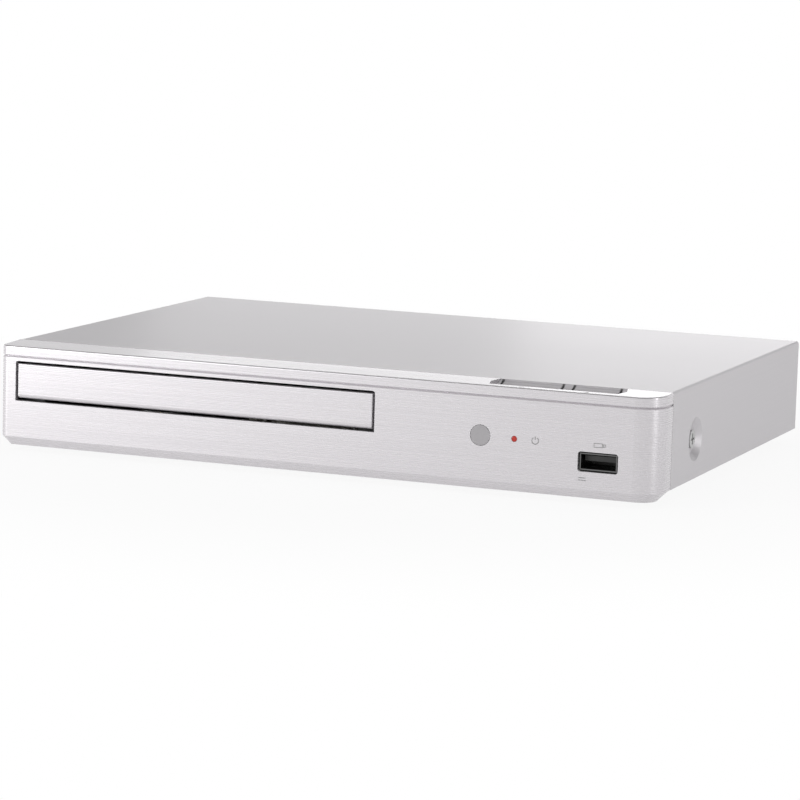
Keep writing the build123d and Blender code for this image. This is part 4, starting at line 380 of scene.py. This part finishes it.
# Finishes by the names of the record's slots, and one for print. Moulded ones: colour, roughness and,
# where the skin isn't the usual one, its grains and depth. Sheet metals: colour and roughness.
# Each of the others has a function of its own.
MOULDED = {
    "black_plastic": (grey(0.018), 0.45),
    "tray_grey": (grey(0.045), 0.5, 1800.0, 8e-6),
    "frame_black": (grey(0.02), 0.55, 1500.0, 8e-6),
    "gear_white": ((0.74, 0.72, 0.66, 1.0), 0.38),
    "rubber_black": (grey(0.02), 0.78, 3500.0, 6e-6),
    "damper_rubber": ((0.1, 0.12, 0.2, 1.0), 0.7, 3500.0, 6e-6),
    "chip_black": (grey(0.022), 0.5, 4000.0, 3e-6),
    "coil_tape": ((0.62, 0.43, 0.06, 1.0), 0.4),
    "can_sleeve": ((0.03, 0.035, 0.09, 1.0), 0.3),
    "print_grey": (grey(0.26), 0.5),
}
SHEETS = {
    "plain_sheet": (grey(0.6), 0.4),
    "shell_steel": (grey(0.14), 0.3),
    "sink_metal": (grey(0.62), 0.42),
    "screw_steel": (grey(0.5), 0.36),
    "rod_steel": (grey(0.68), 0.22),
    "motor_steel": (grey(0.52), 0.34),
    "sled_metal": (grey(0.42), 0.46),
    "contact_brass": ((0.72, 0.53, 0.24, 1.0), 0.3),
}
OTHERS = {
    "front_silver": front_silver,
    "cover_silver": cover_silver,
    "key_silver": key_silver,
    "window_dark": window_dark,
    "lamp_red": lamp_red,
    "lens_glass": lens_glass,
    "board_green": board_green,
    "cable_white": cable_white,
}


def look_of(name, place):
    """The Principled shader's inputs for a finish at a place on the piece."""
    if name in MOULDED:
        return moulded(place, *MOULDED[name])
    if name in SHEETS:
        return sheet_metal(place, *SHEETS[name])
    return OTHERS[name](place)


def make_finish(name):
    """A material with a Principled shader, whose inputs follow the place on the piece."""
    material = bpy.data.materials.new(name)
    material.use_nodes = True
    tree = material.node_tree
    tree.nodes.clear()
    place = Wire(tree).node("ShaderNodeTexCoord", {}, {}, "Object")
    shader = place.node("ShaderNodeBsdfPrincipled", {}, look_of(name, place))
    shader.node("ShaderNodeOutputMaterial", {}, {"Surface": shader})
    return material


def dress(nodes, slots, finishes):
    """Gives each CAD node the finish that its slot names."""
    for name, node in nodes.items():
        node.data.materials.clear()
        node.data.materials.append(finishes[slots[name]])


def place_camera():
    """Stands the camera round the target by azimuth, elevation and roll, and aims it there."""
    turn = math.radians(CAMERA_AZIMUTH)
    rise = math.radians(CAMERA_ELEVATION)
    roll = math.radians(CAMERA_ROLL)
    ahead = Vector((-math.sin(turn) * math.cos(rise), math.cos(turn) * math.cos(rise), -math.sin(rise)))
    right = ahead.cross(Vector((0.0, 0.0, 1.0))).normalized()
    up = right.cross(ahead)
    tilted_right = right * math.cos(roll) + up * math.sin(roll)
    tilted_up = up * math.cos(roll) - right * math.sin(roll)
    data = bpy.data.cameras.new("camera")
    data.lens = CAMERA_LENS
    data.sensor_width = CAMERA_SENSOR
    data.clip_end = CAMERA_CLIP_END
    camera = bpy.data.objects.new("camera", data)
    turned = Matrix((tilted_right, tilted_up, -ahead)).transposed().to_4x4()
    camera.matrix_world = Matrix.Translation(CAMERA_TARGET - ahead * CAMERA_DISTANCE) @ turned
    bpy.context.scene.collection.objects.link(camera)
    bpy.context.scene.camera = camera


def soft_lamp(name, place, aim, size, watts):
    """A soft box: an even rectangle of light at a place, facing the point it aims at."""
    data = bpy.data.lights.new(name, "AREA")
    data.shape = "RECTANGLE"
    data.size, data.size_y = size
    data.energy = watts
    lamp = bpy.data.objects.new(name, data)
    turned = (Vector(aim) - Vector(place)).to_track_quat("-Z", "Y").to_matrix().to_4x4()
    lamp.matrix_world = Matrix.Translation(place) @ turned
    lamp.visible_camera = False
    bpy.context.scene.collection.objects.link(lamp)


def seen_rays(wire, gloss=1.0):
    """1 for rays from the camera and through glass, gloss for rays off a glossy surface, 0 for the rest."""
    seen = wire.node("ShaderNodeLightPath", {}, {}, "Is Glossy Ray") * gloss
    for name in ("Is Camera Ray", "Is Transmission Ray"):
        seen = seen.math("MAXIMUM", seen, wire.node("ShaderNodeLightPath", {}, {}, name))
    return seen


def make_world():
    """A white backdrop for the rays that see it, dark overhead for gloss, and a soft sky for the rest."""
    world = bpy.data.worlds.new("studio")
    world.use_nodes = True
    world.node_tree.nodes.clear()
    start = Wire(world.node_tree)
    height = start.node("ShaderNodeTexCoord", {}, {}, "Generated").axis("Z")
    ceiling = 1.0 - height.fade(CEILING_FROM, CEILING_AT) * (1.0 - CEILING_LEVEL)
    gloss = start.node("ShaderNodeLightPath", {}, {}, "Is Glossy Ray")
    sky = (WORLD_LEVEL + height.fade(SKY_FROM, SKY_AT) * SKY_LEVEL) * (1.0 - gloss)
    level = start.math("MAXIMUM", seen_rays(start, ceiling), sky)
    light = start.node("ShaderNodeBackground", {}, {"Color": grey(1.0), "Strength": level})
    start.node("ShaderNodeOutputWorld", {}, {"Surface": light})
    bpy.context.scene.world = world


def make_floor():
    """A wide pale floor under the feet. Seen, most of its white is its own, and all of it further away."""
    corners = np.array([(-1, -1, 0), (1, -1, 0), (1, 1, 0), (-1, 1, 0)]) * FLOOR_REACH
    corners[:, 2] = cad_low[2]
    mesh = bpy.data.meshes.new("floor")
    mesh.from_pydata(corners.tolist(), [], [(0, 1, 2, 3)])
    floor = bpy.data.objects.new("floor", mesh)
    bpy.context.scene.collection.objects.link(floor)
    material = bpy.data.materials.new("floor_white")
    material.use_nodes = True
    material.node_tree.nodes.clear()
    start = Wire(material.node_tree)
    paper = start.node("ShaderNodeBsdfDiffuse", {}, {"Color": grey(FLOOR_COLOUR)})
    glow = start.node("ShaderNodeEmission", {}, {"Color": grey(1.0), "Strength": 1.0})
    place = start.node("ShaderNodeTexCoord", {}, {}, "Object")
    away = place.node("ShaderNodeVectorMath", {"operation": "LENGTH"}, {0: place}, 1)
    white = FLOOR_GLOW + away.fade(FLOOR_WHITE_FROM, FLOOR_WHITE_AT) * (1.0 - FLOOR_GLOW)
    share = seen_rays(start, FLOOR_GLOSS) * white
    both = start.node("ShaderNodeMixShader", {}, {0: share, 1: paper, 2: glow})
    start.node("ShaderNodeOutputMaterial", {}, {"Surface": both})
    mesh.materials.append(material)


def arc(radius, start, end, steps=48):
    """Points on a circle about the sign's middle, from one angle in degrees to another."""
    turn = np.radians(np.linspace(start, end, steps))
    return np.column_stack((radius * np.cos(turn), radius * np.sin(turn)))


def stroke(path, widths):
    """A printed line: a rectangle carried along a flat path, as wide as widths at each point.

    Gives points as (along the sign, up the sign, above the surface) and faces: each rectangle reaches
    from the surface to the print's thickness, four faces join it to the next one, and the two end
    rectangles close it.
    """
    path = np.asarray(path, float)
    along = np.gradient(path, axis=0)
    along /= np.linalg.norm(along, axis=1)[:, None]
    across = np.column_stack((-along[:, 1], along[:, 0])) * np.reshape(widths, (-1, 1)) / 2
    flat = np.stack((path - across, path + across, path + across, path - across), axis=1)
    lift = np.broadcast_to(np.array((0.0, 0.0, 1.0, 1.0)) * SIGN_THICKNESS, flat.shape[:2])
    points = np.concatenate((flat, lift[..., None]), axis=2).reshape(-1, 3)
    ring = np.arange(4)
    after = np.roll(ring, -1)
    first = np.arange(len(path) - 1)[:, None] * 4
    sides = np.stack((first + ring, first + after, first + 4 + after, first + 4 + ring), axis=-1)
    ends = np.array((ring[::-1], ring + 4 * (len(path) - 1)))
    return points, np.concatenate((sides.reshape(-1, 4), ends))


def power_strokes(scale):
    """A ring open at the top with a bar standing in the opening."""
    radius = POWER_SIGN_RADIUS * scale
    width = SIGN_STROKE * scale
    ring = arc(radius, 90.0 + POWER_SIGN_OPENING, 450.0 - POWER_SIGN_OPENING)
    bar = ((0.0, radius * POWER_BAR_FOOT), (0.0, radius * POWER_BAR_TOP))
    return [stroke(ring, width), stroke(bar, width)]


def eject_strokes():
    """A triangle, drawn as a line that narrows upwards to nothing, over a bar."""
    half = EJECT_WIDTH / 2
    triangle = stroke(((0.0, -half * EJECT_BASE), (0.0, half)), (EJECT_WIDTH, EJECT_WIDTH * EJECT_TIP))
    bar = stroke(((-half, -half * EJECT_BAR), (half, -half * EJECT_BAR)), SIGN_STROKE)
    return [triangle, bar]


def box_strokes(low, high, width):
    """The four sides of a flat rectangle as lines, the upright ones between the level ones."""
    (left, bottom), (right, top) = low, high
    half = width / 2
    level = [((left - half, y), (right + half, y)) for y in (bottom, top)]
    upright = [((x, bottom + half), (x, top - half)) for x in (left, right)]
    return [stroke(side, width) for side in level + upright]


def stick_strokes():
    """A memory stick seen flat, in outline: its body and its narrower plug."""
    width = SIGN_STROKE * STICK_STROKE
    end = STICK_LENGTH / 2
    body = box_strokes((-end, -STICK_WIDTH / 2), (end, STICK_WIDTH / 2), width)
    plug_low = (end + width, -STICK_PLUG_WIDTH / 2)
    return body + box_strokes(plug_low, (end + STICK_PLUG_LENGTH, STICK_PLUG_WIDTH / 2), width)


def current_strokes():
    """A whole line over three dashes."""
    half = CURRENT_SIGN_WIDTH / 2
    level = CURRENT_SIGN_RISE * SIGN_STROKE
    reach = CURRENT_SIGN_WIDTH * DASH_REACH
    strokes = [stroke(((-half, level), (half, level)), SIGN_STROKE)]
    for middle in (-1.0, 0.0, 1.0):
        dash = middle * CURRENT_SIGN_WIDTH * DASH_PITCH
        strokes.append(stroke(((dash - reach, -level), (dash + reach, -level)), SIGN_STROKE))
    return strokes


def print_sign(name, strokes, origin, up):
    """Prints strokes on the case: X runs along the sign, and up is its own upward direction."""
    along = np.array((1.0, 0.0, 0.0))
    above = np.cross(along, up)
    points = np.concatenate([stroke_points for stroke_points, _ in strokes])
    sizes = np.cumsum([0] + [len(stroke_points) for stroke_points, _ in strokes[:-1]])
    faces = np.concatenate([stroke_faces + start for (_, stroke_faces), start in zip(strokes, sizes)])
    placed = np.asarray(origin) + points @ np.array((along, up, above))
    mesh = bpy.data.meshes.new(name)
    mesh.from_pydata(placed.tolist(), [], faces.tolist())
    mesh.materials.append(finishes["print_grey"])
    sign = bpy.data.objects.new(name, mesh)
    bpy.context.scene.collection.objects.link(sign)
    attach(sign, "case")


def middle_of(node):
    """The middle of a node's box at rest."""
    low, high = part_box(node)
    return [(a + b) / 2 for a, b in zip(low, high)]


def print_signs():
    """The plain signs on the front and on the top strip, each placed from the fitting it belongs to."""
    panel_low, panel_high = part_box("front_panel")
    face = panel_low[1]
    upright = np.array((0.0, 0.0, 1.0))
    lamp = middle_of("lamp_lens")
    print_sign("sign_power_lamp", power_strokes(1.0), (lamp[0] + LAMP_SIGN_OFFSET, face, lamp[2]), upright)
    socket_low, socket_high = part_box("usb_shell")
    socket = (socket_low[0] + socket_high[0]) / 2
    print_sign("sign_stick", stick_strokes(), (socket, face, socket_high[2] + STICK_RISE), upright)
    left = socket_low[0] + CURRENT_SIGN_WIDTH / 2
    print_sign("sign_current", current_strokes(), (left, face, socket_low[2] - CURRENT_SIGN_DROP), upright)
    depth = panel_high[1] - panel_low[1]
    slope = np.array((0.0, depth, STRIP_FALL))
    slope /= np.linalg.norm(slope)
    level = panel_high[2] - STRIP_FALL * (1.0 - KEY_SIGN_SETBACK / depth)
    keys = {
        "sign_power_key": ("power_key", power_strokes(KEY_SIGN_SCALE)),
        "sign_eject": ("eject_key", eject_strokes()),
    }
    for name, (key, strokes) in keys.items():
        print_sign(name, strokes, (middle_of(key)[0], face + KEY_SIGN_SETBACK, level), slope)


scene = bpy.context.scene
scene.view_settings.view_transform = "Standard"
finishes = {name: make_finish(name) for name in (*OTHERS, *MOULDED, *SHEETS)}
slots = {part["node"]: part["material_slot"] for part in frame["record"]["subparts"]}
dress(frame["nodes"], slots, finishes)
place_camera()
make_world()
make_floor()
for name, settings in LAMPS.items():
    soft_lamp(name, *settings)
print_signs()
